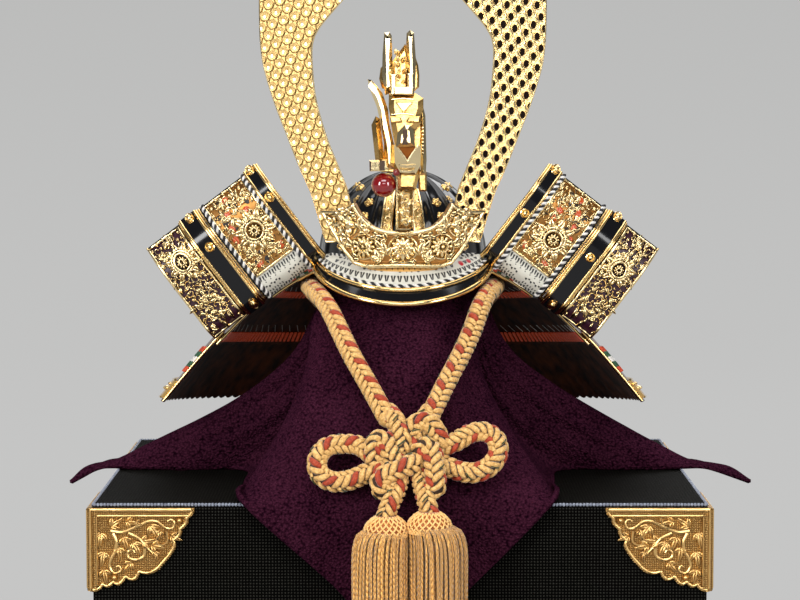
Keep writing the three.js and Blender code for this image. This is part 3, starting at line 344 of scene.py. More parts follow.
def ground_material():
    """Gilt metal chased with a fine square grid, with shade painted into the grid's grooves."""
    nodes = Nodes("fitting_ground", (0.62, 0.40, 0.15), 0.36, 1.0)
    x, y, z = nodes.split(nodes.place())
    turn = 2 * math.pi / (0.62 * MM)
    across = nodes.math("SINE", nodes.math("MULTIPLY", nodes.math("ADD", x, y), turn))
    up = nodes.math("SINE", nodes.math("MULTIPLY", z, turn))
    grid = nodes.math("MINIMUM", across, up)
    # Painted shade: the grooves of the grid are coloured dark brown.
    nodes.color(nodes.blend(nodes.range(grid, -1, 0.5), (0.20, 0.09, 0.02), (0.72, 0.47, 0.18)))
    nodes.bump(grid, 0.1 * MM)
    return nodes.material


purple_crepe = crepe_material()
chest_cloth = chest_material()
post_wood = wood_material()
printed_leather = leather_material()
inner_lacquer = inner_material()
fitting_ground = ground_material()
leather_ink = Nodes("leather_ink", (0.01, 0.01, 0.012), 0.35).material
leather_red = Nodes("leather_red", (0.5, 0.01, 0.02), 0.3).material
tan_leather = Nodes("tan_leather", (0.75, 0.42, 0.12), 0.4).material
red_lacquer = lacquer_material("red_lacquer", (0.085, 0.012, 0.004), 0.22, 0.6, 0.5)
enamel_red = Nodes("enamel_red", (0.5, 0.07, 0.01), 0.2, Coat_Weight=0.5).material
dark_purple = Nodes("dark_purple", (0.03, 0.004, 0.014), 0.4).material
jewel_red = Nodes(
    "jewel_red", (0.2, 0.002, 0.004), 0.04, Coat_Weight=1.0, Coat_Roughness=0.02,
    Subsurface_Weight=0.1, Subsurface_Radius=(0.003, 0.0006, 0.0004),
).material

# Mesh helpers


def grid_faces(rows, columns, wrap=False, wrap_rows=False):
    """The quads of a grid of points that is stored row by row."""
    i = np.arange(columns if wrap else columns - 1)
    j = np.arange(rows if wrap_rows else rows - 1)
    jj, ii = np.meshgrid(j, i, indexing="ij")
    right = (ii + 1) % columns
    below = (jj + 1) % rows
    corners = [jj * columns + ii, jj * columns + right, below * columns + right, below * columns + ii]
    return np.stack(corners, -1).reshape(-1, 4)


class Soup:
    """Collects points and faces in millimetres, then makes one object of them."""

    def __init__(self):
        self.points = []
        self.faces = []
        self.slots = []
        self.uvs = []
        self.count = 0

    def add(self, points, faces, slot=0, uv=None):
        points = np.asarray(points, float).reshape(-1, 3)
        faces = np.asarray(faces)
        self.points.append(points)
        self.faces.append(faces + self.count)
        self.slots.append(np.full(len(faces), slot))
        self.uvs.append(np.zeros((len(points), 2)) if uv is None else np.asarray(uv).reshape(-1, 2))
        self.count += len(points)

    def grid(self, points, slot=0, wrap=False, wrap_rows=False, uv=None):
        rows, columns = points.shape[:2]
        self.add(points, grid_faces(rows, columns, wrap, wrap_rows), slot, uv)

    def build(self, name, materials, origin=(0, 0, 0), sharp=None, uv=False):
        mesh = bpy.data.meshes.new(name)
        points = (np.concatenate(self.points) + np.asarray(origin)) * MM
        faces = []
        for block in self.faces:
            faces.extend(block.tolist())
        mesh.from_pydata(points.tolist(), [], faces)
        for material in materials:
            mesh.materials.append(material)
        mesh.polygons.foreach_set("material_index", np.concatenate(self.slots).astype(np.int32))
        mesh.shade_smooth()
        if sharp is not None:
            mesh.set_sharp_from_angle(angle=sharp * DEGREES)
        if uv:
            layer = mesh.uv_layers.new(name="UVMap")
            corner = np.empty(len(mesh.loops), np.int32)
            mesh.loops.foreach_get("vertex_index", corner)
            layer.uv.foreach_set("vector", np.concatenate(self.uvs)[corner].astype(np.float32).ravel())
        mesh.update()
        piece = bpy.data.objects.new(name, mesh)
        bpy.context.scene.collection.objects.link(piece)
        return piece


def finished(piece, replaces=()):
    """Puts a piece on the one body and names what it stands for."""
    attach(piece, "root")
    if replaces:
        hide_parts(*replaces)
    return piece


def unit(vectors):
    return vectors / np.maximum(np.linalg.norm(vectors, axis=-1, keepdims=True), 1e-12)


def catmull(points, count, closed=False):
    """A centripetal Catmull-Rom curve through points, at count places evenly spread over its spans."""
    points = np.asarray(points, float)
    n = len(points)
    spans = n if closed else n - 1
    if closed:
        padded = np.vstack([points[-1], points, points[0], points[1]])
    else:
        padded = np.vstack([2 * points[0] - points[1], points, 2 * points[-1] - points[-2]])
    where = np.linspace(0, spans, count, endpoint=not closed)
    span = np.minimum(where.astype(int), spans - 1)
    share = (where - span)[:, None]
    p0, p1, p2, p3 = (padded[span + k] for k in range(4))
    pairs = ((p0, p1), (p1, p2), (p2, p3))
    knots = [np.maximum(np.linalg.norm(b - a, axis=1) ** 0.5, 1e-6) for a, b in pairs]
    d0, d1, d2 = (k[:, None] for k in knots)
    m1 = ((p1 - p0) / d0 - (p2 - p0) / (d0 + d1) + (p2 - p1) / d1) * d1
    m2 = ((p2 - p1) / d1 - (p3 - p1) / (d1 + d2) + (p3 - p2) / d2) * d1
    s2, s3 = share**2, share**3
    return (2 * s3 - 3 * s2 + 1) * p1 + (s3 - 2 * s2 + share) * m1 + (3 * s2 - 2 * s3) * p2 + (s3 - s2) * m2


def evenly(line, step):
    """The same line with its points a fixed step apart, nearly."""
    lengths = np.r_[0, np.cumsum(np.linalg.norm(np.diff(line, axis=0), axis=1))]
    count = max(int(round(lengths[-1] / step)), 2) + 1
    where = np.linspace(0, lengths[-1], count)
    return np.stack([np.interp(where, lengths, line[:, k]) for k in range(line.shape[1])], 1), where


def frames(line, closed=False):
    """Tangents and two turning-free side directions along a line."""
    if closed:
        tangent = unit(np.roll(line, -1, 0) - np.roll(line, 1, 0))
    else:
        tangent = unit(np.gradient(line, axis=0))
    side = np.zeros_like(line)
    start = np.cross(tangent[0], [0.0, 0.0, 1.0])
    if np.linalg.norm(start) < 0.1:
        start = np.cross(tangent[0], [0.0, 1.0, 0.0])
    side[0] = start / np.linalg.norm(start)
    for k in range(1, len(line)):
        step = side[k - 1] - tangent[k] * np.dot(side[k - 1], tangent[k])
        side[k] = step / max(np.linalg.norm(step), 1e-9)
    return tangent, side, np.cross(tangent, side)


def sweep(soup, line, radius, sides=8, slot=0, closed=False, caps=True, uv_length=None):
    """A tube round a line. radius is one number or one for each point."""
    line = np.asarray(line, float)
    _, side, other = frames(line, closed)
    radii = np.broadcast_to(np.asarray(radius, float), (len(line),))[:, None, None]
    angle = np.linspace(0, 2 * np.pi, sides, endpoint=False)[None, :, None]
    rings = line[:, None] + radii * (np.cos(angle) * side[:, None] + np.sin(angle) * other[:, None])
    uv = None
    if uv_length:
        along = np.r_[0, np.cumsum(np.linalg.norm(np.diff(line, axis=0), axis=1))] / uv_length
        uv = np.stack(np.broadcast_arrays(np.arange(sides)[None] / sides, along[:, None]), -1)
    start = soup.count
    soup.grid(rings, slot, wrap=True, wrap_rows=closed, uv=uv)
    if caps and not closed:
        last = start + (len(line) - 1) * sides
        for ring, flip in ((start, True), (last, False)):
            order = list(range(sides))[:: -1 if flip else 1]
            fan = [[ring + order[0], ring + order[k], ring + order[k + 1]] for k in range(1, sides - 1)]
            soup.faces.append(np.array(fan))
            soup.slots.append(np.full(len(fan), slot))


def rope(soup, line, radius, pitch, slots=(0, 1), sides=5, strands=2, step=0.45):
    """A cord laid up from strands that twist round each other."""
    line, where = evenly(np.asarray(line, float), step)
    _, side, other = frames(line)
    for k in range(strands):
        angle = (2 * np.pi * (where / pitch + k / strands))[:, None]
        path = line + radius * 0.5 * (np.cos(angle) * side + np.sin(angle) * other)
        sweep(soup, path, radius * 0.56, sides, slots[k % len(slots)])


def ball(soup, centre, radii, slot=0, columns=12, rows=8, basis=None):
    """A sphere or ellipsoid, with its own axes if basis is given."""
    fall = np.linspace(0, np.pi, rows + 1)[:, None]
    turn = np.linspace(0, 2 * np.pi, columns, endpoint=False)[None]
    x, y = np.sin(fall) * np.cos(turn), np.sin(fall) * np.sin(turn)
    z = np.broadcast_to(np.cos(fall), x.shape)
    local = np.stack([x, y, z], -1) * np.broadcast_to(radii, (3,))
    if basis is not None:
        local = local @ np.asarray(basis)
    soup.grid(local + np.asarray(centre, float), slot, wrap=True)


def bar(soup, start, end, wide, deep, slot=0, face=(0, -1, 0), wide_end=None, deep_end=None):
    """A four-sided tapered bar with a flat face towards one direction."""
    start, end = np.asarray(start, float), np.asarray(end, float)
    axis = unit(end - start)
    front = np.asarray(face, float)
    front = unit(front - axis * np.dot(front, axis))
    across = np.cross(axis, front)
    rings = []
    for place, w, d in ((start, wide, deep), (end, wide_end or wide, deep_end or deep)):
        rings.append([place + sx * across * w / 2 + sy * front * d / 2 for sx, sy in
                      ((-1, -1), (1, -1), (1, 1), (-1, 1))])
    points = np.array(rings).reshape(-1, 3)
    faces = [[0, 1, 5, 4], [1, 2, 6, 5], [2, 3, 7, 6], [3, 0, 4, 7], [3, 2, 1, 0], [4, 5, 6, 7]]
    soup.add(points, faces, slot)


def inside(outline, x, y):
    """Which of the points lie inside a closed outline."""
    result = np.zeros(x.shape, bool)
    for (ax, ay), (bx, by) in zip(outline, np.roll(outline, -1, 0)):
        crosses = (ay > y) != (by > y)
        with np.errstate(divide="ignore", invalid="ignore"):
            at = (bx - ax) * (y - ay) / (by - ay) + ax
        result ^= crosses & (x < at)
    return result


def to_line(x, y, line, closed=False):
    """Distance from points to a line of segments."""
    best = np.full(np.shape(x), 1e9)
    pairs = zip(line, np.roll(line, -1, 0)) if closed else zip(line[:-1], line[1:])
    for (ax, ay), (bx, by) in pairs:
        ux, uy = bx - ax, by - ay
        share = np.clip(((x - ax) * ux + (y - ay) * uy) / max(ux * ux + uy * uy, 1e-12), 0, 1)
        best = np.minimum(best, np.hypot(x - ax - share * ux, y - ay - share * uy))
    return best


def filled(outline, spacing):
    """Points and triangles that fill a flat outline on a fine grid."""
    outline = np.asarray(outline, float)
    lo, hi = outline.min(0), outline.max(0)
    xs = np.arange(lo[0] + spacing / 2, hi[0], spacing)
    ys = np.arange(lo[1] + spacing / 2, hi[1], spacing)
    gx, gy = (g.ravel() for g in np.meshgrid(xs, ys))
    keep = inside(outline, gx, gy)
    gx, gy = gx[keep], gy[keep]
    keep = to_line(gx, gy, outline, True) > spacing * 0.45
    points = np.vstack([outline, np.stack([gx[keep], gy[keep]], 1)])
    n = len(outline)
    edges = [(k, (k + 1) % n) for k in range(n)]
    result = delaunay_2d_cdt([Vector(p) for p in points], edges, [list(range(n))], 1, 1e-6)
    flat = np.array([tuple(v) for v in result[0]])
    return flat, np.array([f for f in result[2] if len(f) == 3])


def plate(soup, outline, spacing, surface, height, thickness, slot=0, back_slot=None):
    """A plate cut to an outline: relief on its front, plain walls and a plain back.
    surface(a, b, h) gives a point in space for a flat place and its height over the back."""
    flat, triangles = filled(outline, spacing)
    a, b = flat[:, 0], flat[:, 1]
    front = surface(a, b, thickness + height(a, b))
    soup.add(front, triangles, slot)
    edge = np.asarray(outline, float)
    closed = np.vstack([edge, edge[:1]])
    rim_height = thickness + height(closed[:, 0], closed[:, 1])
    walls = np.stack([
        surface(closed[:, 0], closed[:, 1], rim_height),
        surface(closed[:, 0], closed[:, 1], np.zeros(len(closed))),
    ])
    soup.grid(walls, slot)
    flat, triangles = filled(outline, max(spacing * 3, 1.2))
    back = surface(flat[:, 0], flat[:, 1], np.zeros(len(flat)))
    soup.add(back, triangles[:, ::-1], slot if back_slot is None else back_slot)


# Ornament: heights from 0 to 1 over flat places


def no_relief(a, b):
    """A height of nothing, for a smooth plate."""
    return 0.0 * a


def hump(distance, reach):
    return np.sqrt(np.clip(1 - (distance / reach) ** 2, 0, 1))


def flower(x, y, cx, cy, radius, petals=12, turn=0.0):
    """A layered bloom: two rings of petals round a domed centre."""
    rho = np.hypot(x - cx, y - cy) / radius
    angle = np.arctan2(y - cy, x - cx) + turn
    wave = np.abs(np.cos(petals * angle / 2))
    outer = np.clip((0.8 + 0.2 * wave - rho) * 6, 0, 1) * (0.3 + 0.45 * wave) * np.clip(rho * 2, 0.4, 1)
    wave_in = np.abs(np.sin(petals * angle / 2))
    inner = np.clip((0.5 + 0.14 * wave_in - rho) * 8, 0, 1) * (0.55 + 0.3 * wave_in)
    ring = 0.95 * hump(rho - 0.3, 0.07)
    centre = 0.9 * hump(rho, 0.2)
    return np.maximum.reduce([outer, inner, ring, centre])


def curl(cx, cy, radius, start, turns, steps=26):
    """The middle line of a spiral tendril, from its outside inwards."""
    share = np.linspace(0, 1, steps)
    angle = start + 2 * np.pi * turns * share
    reach = radius * (1 - 0.82 * share)
    return np.stack([cx + reach * np.cos(angle), cy + reach * np.sin(angle)], 1)


# The cord, its knot and the tassels

CORD_RADIUS = 3.8
CORD_ROUTE = [
    (-4.3, -78.8, 29), (-11, -69.8, 40), (-16.6, -61.8, 48.8), (-21, -52.8, 56.6), (-25, -42.6, 63.4),
    (-29.2, -31, 67.6), (-32.4, -17, 69), (-33.2, 0, 68.6), (-32.6, 16, 65.2), (-28, 30, 60),
    (-14.5, 38.6, 58.4), (1, 41, 58), (16.5, 38.6, 58.4), (30, 30, 60), (34.6, 16, 65.2),
    (35.2, 0, 68.6), (34, -17, 69), (31, -31, 67.6), (28.2, -42.6, 63.4), (25.2, -52.8, 56.6),
    (21, -61.8, 48.8), (15.8, -69.8, 40), (9.8, -78.8, 29),
]
BRAID = {"columns": 4, "pitch": 2.75, "lean": 1.9, "reach": 62, "wide": 1.5, "deep": 1.2, "carriers": 3}
BRAID_COLORS = [cord_core_shade, cord_gold, cord_red, cord_green]


def braid(soup, line, radius, phase=0, turn=0, rings=7, sides=6):
    """A plump braided cord: four columns of slanted floats round a core. Two of them have red floats."""
    line, where = evenly(np.asarray(line, float), 0.8)
    tangent, side, other = frames(line)
    # The dark core shows between the floats as painted shade.
    sweep(soup, line, radius * 0.74, 8, 0)
    for end in (line[0], line[-1]):
        ball(soup, end, radius * 0.84, 1, 14, 10)
    scale = radius / CORD_RADIUS
    pitch = BRAID["pitch"] * scale
    length = where[-1]
    for column in range(BRAID["columns"]):
        slant = 1 if column % 2 else -1
        starts = np.arange(pitch / 2 + (pitch / 2 if column % 2 else 0), length, pitch)
        number = np.arange(len(starts)) + phase + column * 3 * slant
        share = np.linspace(-1, 1, rings)
        angle = (column * 90 + 45 + turn + share * BRAID["reach"]) * DEGREES
        s = np.clip(starts[:, None] + slant * share * BRAID["lean"] * scale, 0, length)
        lift = radius - BRAID["deep"] * scale * 0.98 - 0.75 * scale * share**4
        axes = [np.stack([np.interp(s, where, v[:, k]) for k in range(3)], -1) for v in
                (line, tangent, side, other)]
        centre, along, across, up = axes
        cos, sin = np.cos(angle)[None, :, None], np.sin(angle)[None, :, None]
        outward = cos * across + sin * up
        middle = centre + lift[None, :, None] * outward
        swell = np.sqrt(np.clip(1 - (share * 0.97) ** 2, 0.03, 1)) ** 0.7
        ring = np.linspace(0, 2 * np.pi, sides, endpoint=False)
        wide = BRAID["wide"] * scale * swell[None, :, None, None]
        deep = BRAID["deep"] * scale * swell[None, :, None, None]
        points = (
            middle[:, :, None]
            + wide * np.cos(ring)[None, None, :, None] * along[:, :, None]
            + deep * np.sin(ring)[None, None, :, None] * outward[:, :, None]
        )
        faces = grid_faces(rings, sides, wrap=True)
        for k in range(len(starts)):
            red = column % 2 == 0 and number[k] % BRAID["carriers"] == 0
            soup.add(points[k], faces, 2 if red else 1)
        # A short dark green thread shows at the seam beside some of the floats.
        green = np.nonzero(number % BRAID["carriers"] == 1)[0] if column % 2 else ()
        for k in green:
            thread = middle[k] + 0.62 * BRAID["wide"] * scale * along[k] * swell[:, None]
            thread = thread + outward[k] * BRAID["deep"] * scale * 0.72
            sweep(soup, thread[1:4], 0.3 * scale, 4, 3, caps=False)


def chest_point(points):
    return np.asarray(points, float) + CHEST


soup = Soup()
cord_line = catmull(CORD_ROUTE, 400)
braid(soup, chest_point(cord_line), CORD_RADIUS, phase=1, turn=45)
chin_cord = finished(soup.build("braided_chin_cord", BRAID_COLORS), ["chin_cord"])

KNOT = {"stand": 85.1, "middle": 16, "lean": 0.5}
# Each rope of the knot, by its places across, outwards and up.
KNOT_ROPES = [
    {"name": "left loop", "radius": 3.7, "points": [
        (-4, 2, 15), (-9.5, 1.5, 17.6), (-13.8, 1, 20.4), (-19.6, 1, 21), (-25, 1.2, 20), (-28, 1.2, 16.2),
        (-27.4, 1.2, 11.6), (-23, 1, 9), (-17, 1, 9.4), (-11, 1.5, 11.8), (-5, 2, 13.6)]},
    {"name": "right loop", "radius": 3.7, "points": [
        (9, 2, 17), (14, 2, 20), (18.7, 1.4, 21.6), (23.6, 1, 24.2), (28.6, 1, 25), (32.6, 1, 22.6),
        (33.4, 1, 18), (30.4, 1, 13.8), (25.4, 1, 11.8), (19.6, 1, 12.4), (14, 1.6, 14.6), (9, 2, 15)]},
    {"name": "left end of the cord", "radius": 3.8, "points": [
        (-4.3, -2, 31), (-1.6, 2.6, 28.4), (0, 4.4, 25), (0.6, 4.6, 21.6), (-0.4, 3, 18)]},
    {"name": "right end of the cord", "radius": 3.8, "points": [
        (9.8, -2, 31), (8.4, 0, 28), (6, 2.4, 24), (4, 2.4, 20)]},
    {"name": "top right lobe", "radius": 3.8, "points": [
        (3.2, 1.5, 21), (3.4, 4, 25), (5.6, 5, 28.2), (9.4, 5, 28.4), (12.2, 4.4, 25.8), (13.6, 3, 22),
        (13, 1.5, 19)]},
    {"name": "upper left lobe", "radius": 3.9, "points": [
        (-8.2, 1.5, 14.5), (-9, 3.6, 18.4), (-8, 5, 22.4), (-5.4, 5.6, 23), (-3.4, 5.4, 19.4),
        (-1.6, 4.6, 16), (1, 3, 14.4)]},
    {"name": "lower left lobe", "radius": 3.9, "points": [
        (6.6, 3.4, 15.8), (3, 5.4, 14.8), (-1, 6, 13.4), (-5, 5.6, 11.6), (-7, 4.6, 8.6), (-5.4, 3.4, 6.2),
        (-2.4, 2, 6.6)]},
    {"name": "right lobe", "radius": 3.9, "points": [
        (6.6, 3.2, 17), (7.4, 5.2, 20.4), (10, 5.8, 20.4), (11.4, 6, 16.4), (12, 5.6, 11.4), (12, 4.6, 7.6),
        (10, 3, 6)]},
    {"name": "heart", "radius": 3.6, "points": [(-6, 0, 18), (0, 0.6, 17), (6, 0.6, 16.6), (12, 0, 17.4)]},
    {"name": "left end", "radius": 3.5, "points": [
        (0.6, 1.2, 12), (-1.2, 3.6, 6.5), (-3.6, 5.2, 1.8), (-4.9, 4.8, -1.8), (-4.9, 3.6, -5)]},
    {"name": "right end", "radius": 3.5, "points": [
        (6.4, 1.2, 12), (7.8, 3.6, 6.5), (9.2, 5.2, 2.2), (10.1, 4.8, -0.8), (10.1, 3.6, -4.2)]},
]


def knot_point(points):
    x, out, z = np.asarray(points, float).T
    return chest_point(np.stack([x, -KNOT["stand"] - out + KNOT["lean"] * (z - KNOT["middle"]), z], 1))


soup = Soup()
for index, strand in enumerate(KNOT_ROPES):
    braid(soup, knot_point(catmull(strand["points"], 60)), strand["radius"], phase=2 * index + 1)
cord_knot = finished(soup.build("braided_knot", BRAID_COLORS), ["cord_knot"])

TASSEL = {
    "head": 6.4, "radius": 9.6, "thread": 0.58, "net_threads": 20, "net_wire": 0.3, "head_rows": 12,
    "head_columns": 28,
}
TASSEL_LAYERS = [
    {"threads": 43, "wide": 1.0, "start": 0.66}, {"threads": 40, "wide": 0.86, "start": 0.6},
    {"threads": 34, "wide": 0.68, "start": 0.56},
]
TASSELS = [
    {"side": "left", "place": (-6.7, -99, -1.2), "head": 2.1, "skirt": 56},
    {"side": "right", "place": (12.9, -99, 0.2), "head": -3.1, "skirt": 56.6},
]


def tassel(row, seed):
    """A netted head over a skirt of twisted threads. The head stands beside the middle of the skirt."""
    draws = np.random.default_rng(seed)
    place = chest_point(row["place"])
    head_place = place + (row["head"], 0, 0)
    soup = Soup()
    # The head: a cushion of silk under a knotted net.
    rows, columns = TASSEL["head_rows"], TASSEL["head_columns"]
    fall = np.linspace(0, 1, rows)
    reach = TASSEL["radius"] * (0.3 + 0.44 * np.sin(np.clip(fall * 1.3, 0, 1) * np.pi / 2) ** 0.8)
    heights = -fall * TASSEL["head"]
    turn = np.linspace(0, 2 * np.pi, columns, endpoint=False)
    rings = np.stack([
        reach[:, None] * np.cos(turn), reach[:, None] * np.sin(turn),
        np.broadcast_to(heights[:, None], (rows, columns)),
    ], -1)
    soup.grid(rings + head_place, 2, wrap=True)
    soup.grid(np.stack([rings[0], 0.1 * rings[0]]) + head_place + (0, 0, 0.02), 2, wrap=True)
    for k in range(TASSEL["net_threads"]):
        for way in (1, -1):
            share = np.linspace(0.02, 1, 22)
            angle = 2 * np.pi * (k / TASSEL["net_threads"] + way * 0.14 * share)
            out = np.interp(share, fall, reach) + 0.35 + 0.14 * np.sin(share * 40 + way)
            line = np.stack([out * np.cos(angle), out * np.sin(angle), -share * TASSEL["head"]], 1)
            sweep(soup, line + head_place, TASSEL["net_wire"], 5, 1, uv_length=2.0)
    head_band = np.linspace(0, 2 * np.pi, 40)
    for lift, out in ((0.93, 0.735), (1.03, 0.75)):
        line = np.stack([
            TASSEL["radius"] * out * np.cos(head_band), TASSEL["radius"] * out * np.sin(head_band),
            np.full(40, -lift * TASSEL["head"]),
        ], 1)
        rope(soup, line + head_place, 0.6, 2.4, (1, 1), 5)
    # The skirt: threads that arch out from under the head and hang straight.
    share = np.linspace(0, 1, 24) ** 1.35
    drop = share * row["skirt"]
    aside = row["head"] * np.exp(-drop / 2.2)
    for layer in TASSEL_LAYERS:
        count, wide, start = layer["threads"], layer["wide"], layer["start"]
        for k in range(count):
            angle = 2 * np.pi * (k + draws.uniform(-0.2, 0.2)) / count
            hang = wide * (0.945 + 0.045 * draws.uniform(-1, 1))
            neck = start + (hang - start) * np.clip(1 - np.exp(-drop / 1.6), 0, 1)
            wave = 0.22 * np.sin(drop * draws.uniform(0.1, 0.25) + draws.uniform(0, 6)) * share
            out = TASSEL["radius"] * neck + wave
            twist = angle + 0.02 * np.sin(drop * 0.11 + draws.uniform(0, 6))
            top = -TASSEL["head"] * (1.0 - 0.1 * wide)
            rise = 1.3 * wide * np.exp(-((drop - 1.6) ** 2) / 4)
            end = -share * draws.uniform(0, 0.6)
            z = top - drop * (row["skirt"] - 1.2) / row["skirt"] + rise - end
            line = np.stack([aside + out * np.cos(twist), out * np.sin(twist), z], 1)
            sweep(soup, line + place, TASSEL["thread"], 6, 0, uv_length=2.1)
    piece = soup.build(f"silk_tassel_{row['side']}", [tassel_thread, tassel_net, tassel_cushion], uv=True)
    return finished(piece, [f"tassel_{row['side']}"])


tassels = [tassel(row, 11 + k) for k, row in enumerate(TASSELS)]
tuple(chest_point(CORD_ROUTE[0]) * MM)
((chest_point(cord_line) * MM)[::8].tolist()
    + [(chest_point(cord_line[-1]) * MM).tolist()])

# The crepe cloth

CLOTH = {"thickness": 1.6, "mouth": 26, "mouth_height": 75, "neck_height": 60, "foot_rows": 5}
HEAD = {"radius": 14.6, "rise": 12}
# The reach of a fold is given in half depths of the chest.
REACH_UNIT = CHEST_HALF[1]
CLOTH_TOP = BOWL["rim"] + BOWL["rise"] - BOWL["wall"] - GAP - CLOTH["thickness"] / 2
FOLD_COLUMNS = ("name", "bearing", "end", "neck", "hem", "flare", "hang", "dip")
FOLDS = [dict(zip(FOLD_COLUMNS, row)) for row in [
    ("front corner", 0, 0, 0.51, 1.035, 0.7, 0.02, 0.59),
    ("front left", 20, 16, 0.52, 1.07, 0.85, 0.02, 0.32),
    ("left ridge", 43, 32, 0.54, 1.2, 1.6, 0.03, 0),
    ("left flank", 58, 54, 0.4, 0.8, 2.1, 0.04, 0),
    ("left valley", 74, 86, 0.33, 0.68, 2.7, 0.04, 0),
    ("left wing foot", 80, 88, 0.34, 1.02, 2.7, 0.05, 0),
    ("left wing face", 86, 90, 0.36, 1.27, 2.2, 0.08, 0),
    ("left wing top", 93, 93.5, 0.38, 1.34, 1.7, 0.17, 0.08),
    ("left wing back", 102, 97, 0.36, 1.27, 2.2, 0.08, 0),
    ("left wing heel", 110, 100, 0.34, 1, 2.7, 0.05, 0),
    ("left rear valley", 120, 106, 0.34, 0.72, 2.4, 0.04, 0),
    ("left rear flank", 135, 127, 0.38, 0.84, 2, 0.04, 0),
    ("left rear ridge", 150, 148, 0.38, 1.2, 2, 0.03, 0),
    ("rear left", 166, 164, 0.37, 1.07, 1.8, 0.02, 0.32),
    ("rear corner", 180, 180, 0.37, 1.035, 1.7, 0.02, 0.59),
]]
RIGHT_CHANGES = {
    "front left": {"bearing": 16, "neck": 0.5},
    "left ridge": {"bearing": 35, "neck": 0.45, "hem": 1.17, "end": 30.5},
    "left flank": {"bearing": 52, "neck": 0.36, "hem": 0.76},
    "left wing top": {"hang": 0.24},
}


def fold_lines():
    sides = [{**fold, "side": -1} for fold in FOLDS]
    right = [{**fold, **RIGHT_CHANGES.get(fold["name"], {}), "side": 1} for fold in FOLDS[1:-1]]
    return sides + right[::-1]


def fold_points(fold):
    """The levels that a fold line passes, from the crown of the post down to the hem."""
    points = []

    def place(bearing, reach, height):
        angle = bearing * DEGREES
        points.append((fold["side"] * reach * math.sin(angle), -reach * math.cos(angle), height))

    head_reach = HEAD["radius"] + GAP + CLOTH["thickness"] / 2
    bearing = fold["bearing"]
    place(bearing, head_reach * 0.4, CLOTH_TOP - HEAD["rise"] * 0.05)
    place(bearing, head_reach * 0.85, CLOTH_TOP - HEAD["rise"] * 0.42)
    place(bearing, head_reach + 0.6, CLOTH_TOP - HEAD["rise"] * 0.95)
    place(bearing, (head_reach + CLOTH["mouth"]) / 2, (CLOTH_TOP - HEAD["rise"] + CLOTH["mouth_height"]) / 2)
    place(bearing, min(CLOTH["mouth"], fold["neck"] * REACH_UNIT - 1), CLOTH["mouth_height"])
    lie = GAP + CLOTH["thickness"] / 2
    for k in range(CLOTH["foot_rows"] + 1):
        fall = 1 - (1 - k / CLOTH["foot_rows"]) ** 1.4
        reach = fold["neck"] + (fold["hem"] - fold["neck"]) * fall ** fold["flare"]
        place(
            bearing + (fold["end"] - bearing) * fall, reach * REACH_UNIT,
            CLOTH["neck_height"] + (lie - CLOTH["neck_height"]) * fall,
        )
    last = (fold["hem"] + fold["hang"]) * REACH_UNIT
    place(fold["end"], last - fold["hang"] * REACH_UNIT * 0.4, lie - fold["dip"] * REACH_UNIT * 0.25)
    place(fold["end"], last, lie - fold["dip"] * REACH_UNIT)
    return np.array(points)


CLOTH_GRID = {"columns": 364, "rows": 114}


def cloth_piece():
    """The draped square. Its folds are the same lines, joined smoothly and broken by soft creases."""
    lines = np.array([fold_points(fold) for fold in fold_lines()])
    levels, columns = lines.shape[1], CLOTH_GRID["columns"]
    rings = np.array([catmull(lines[:, j], columns, closed=True) for j in range(levels)])
    rows = np.array([catmull(rings[:, i], CLOTH_GRID["rows"]) for i in range(columns)])
    rows = rows.transpose(1, 0, 2)
    # Soft creases run down the cloth and fade out at its crown and at its flat feet.
    turn = np.linspace(0, 2 * np.pi, CLOTH_GRID["columns"], endpoint=False)[None]
    level = np.linspace(0, 1, CLOTH_GRID["rows"])[:, None]
    along = unit(np.roll(rows, -1, 1) - np.roll(rows, 1, 1))
    down = unit(np.gradient(rows, axis=0))
    normal = unit(np.cross(down, along))
    fade = np.clip((level - 0.34) * 5, 0, 1) * np.clip((rows[..., 2] - 2) / 12, 0.12, 1)
    crease = 0.55 * np.sin(23 * turn + 5 * level) + 0.4 * np.sin(41 * turn - 9 * level + 1.3)
    sag = 0.5 * np.sin(7 * turn + 16 * level)
    rows = rows + (fade * (crease + sag))[..., None] * normal
    half = CLOTH["thickness"] / 2 * np.ones((CLOTH_GRID["rows"], 1, 1))
    outer, inner = rows + normal * half, rows - normal * half
    soup = Soup()
    # The hem turns under in a rounded edge.
    hem_out = unit(rows[-1] - rows[-3]) * 0.5
    edge, lift = rows[-1], normal[-1] * 0.9
    hem = [edge + lift + hem_out, edge + hem_out * 2.2, edge - lift + hem_out]
    sheet = np.concatenate([outer, np.array(hem), inner[::-1]])
    soup.grid(sheet, 0, wrap=True)
    count = CLOTH_GRID["columns"]
    for ring, flip in ((0, False), (len(sheet) - 1, True)):
        hub = sheet[ring].mean(0) + (0, 0, 0.25)
        points = np.vstack([sheet[ring], hub])
        i = np.arange(count)
        fan = np.stack([i, (i + 1) % count, np.full(count, count)], 1)
        soup.add(points, fan[:, ::-1] if flip else fan, 0)
    piece = soup.build("crepe_cloth", [purple_crepe], HELMET)
    return finished(piece, ["display_cloth"])


crepe_cloth = cloth_piece()

# Relief on any surface. place(a, b, h) gives a point for a flat place and a height over the surface.


def vine(soup, place, line, radius, lift=0.0, slot=0, sides=6, step=0.5, thin=0.5):
    """A tendril: half sunk in the ground and thinner towards its end."""
    flat, _ = evenly(np.asarray(line, float), step)
    middle = place(flat[:, 0], flat[:, 1], np.full(len(flat), lift))
    sweep(soup, middle, radius * np.linspace(1, thin, len(flat)), sides, slot)


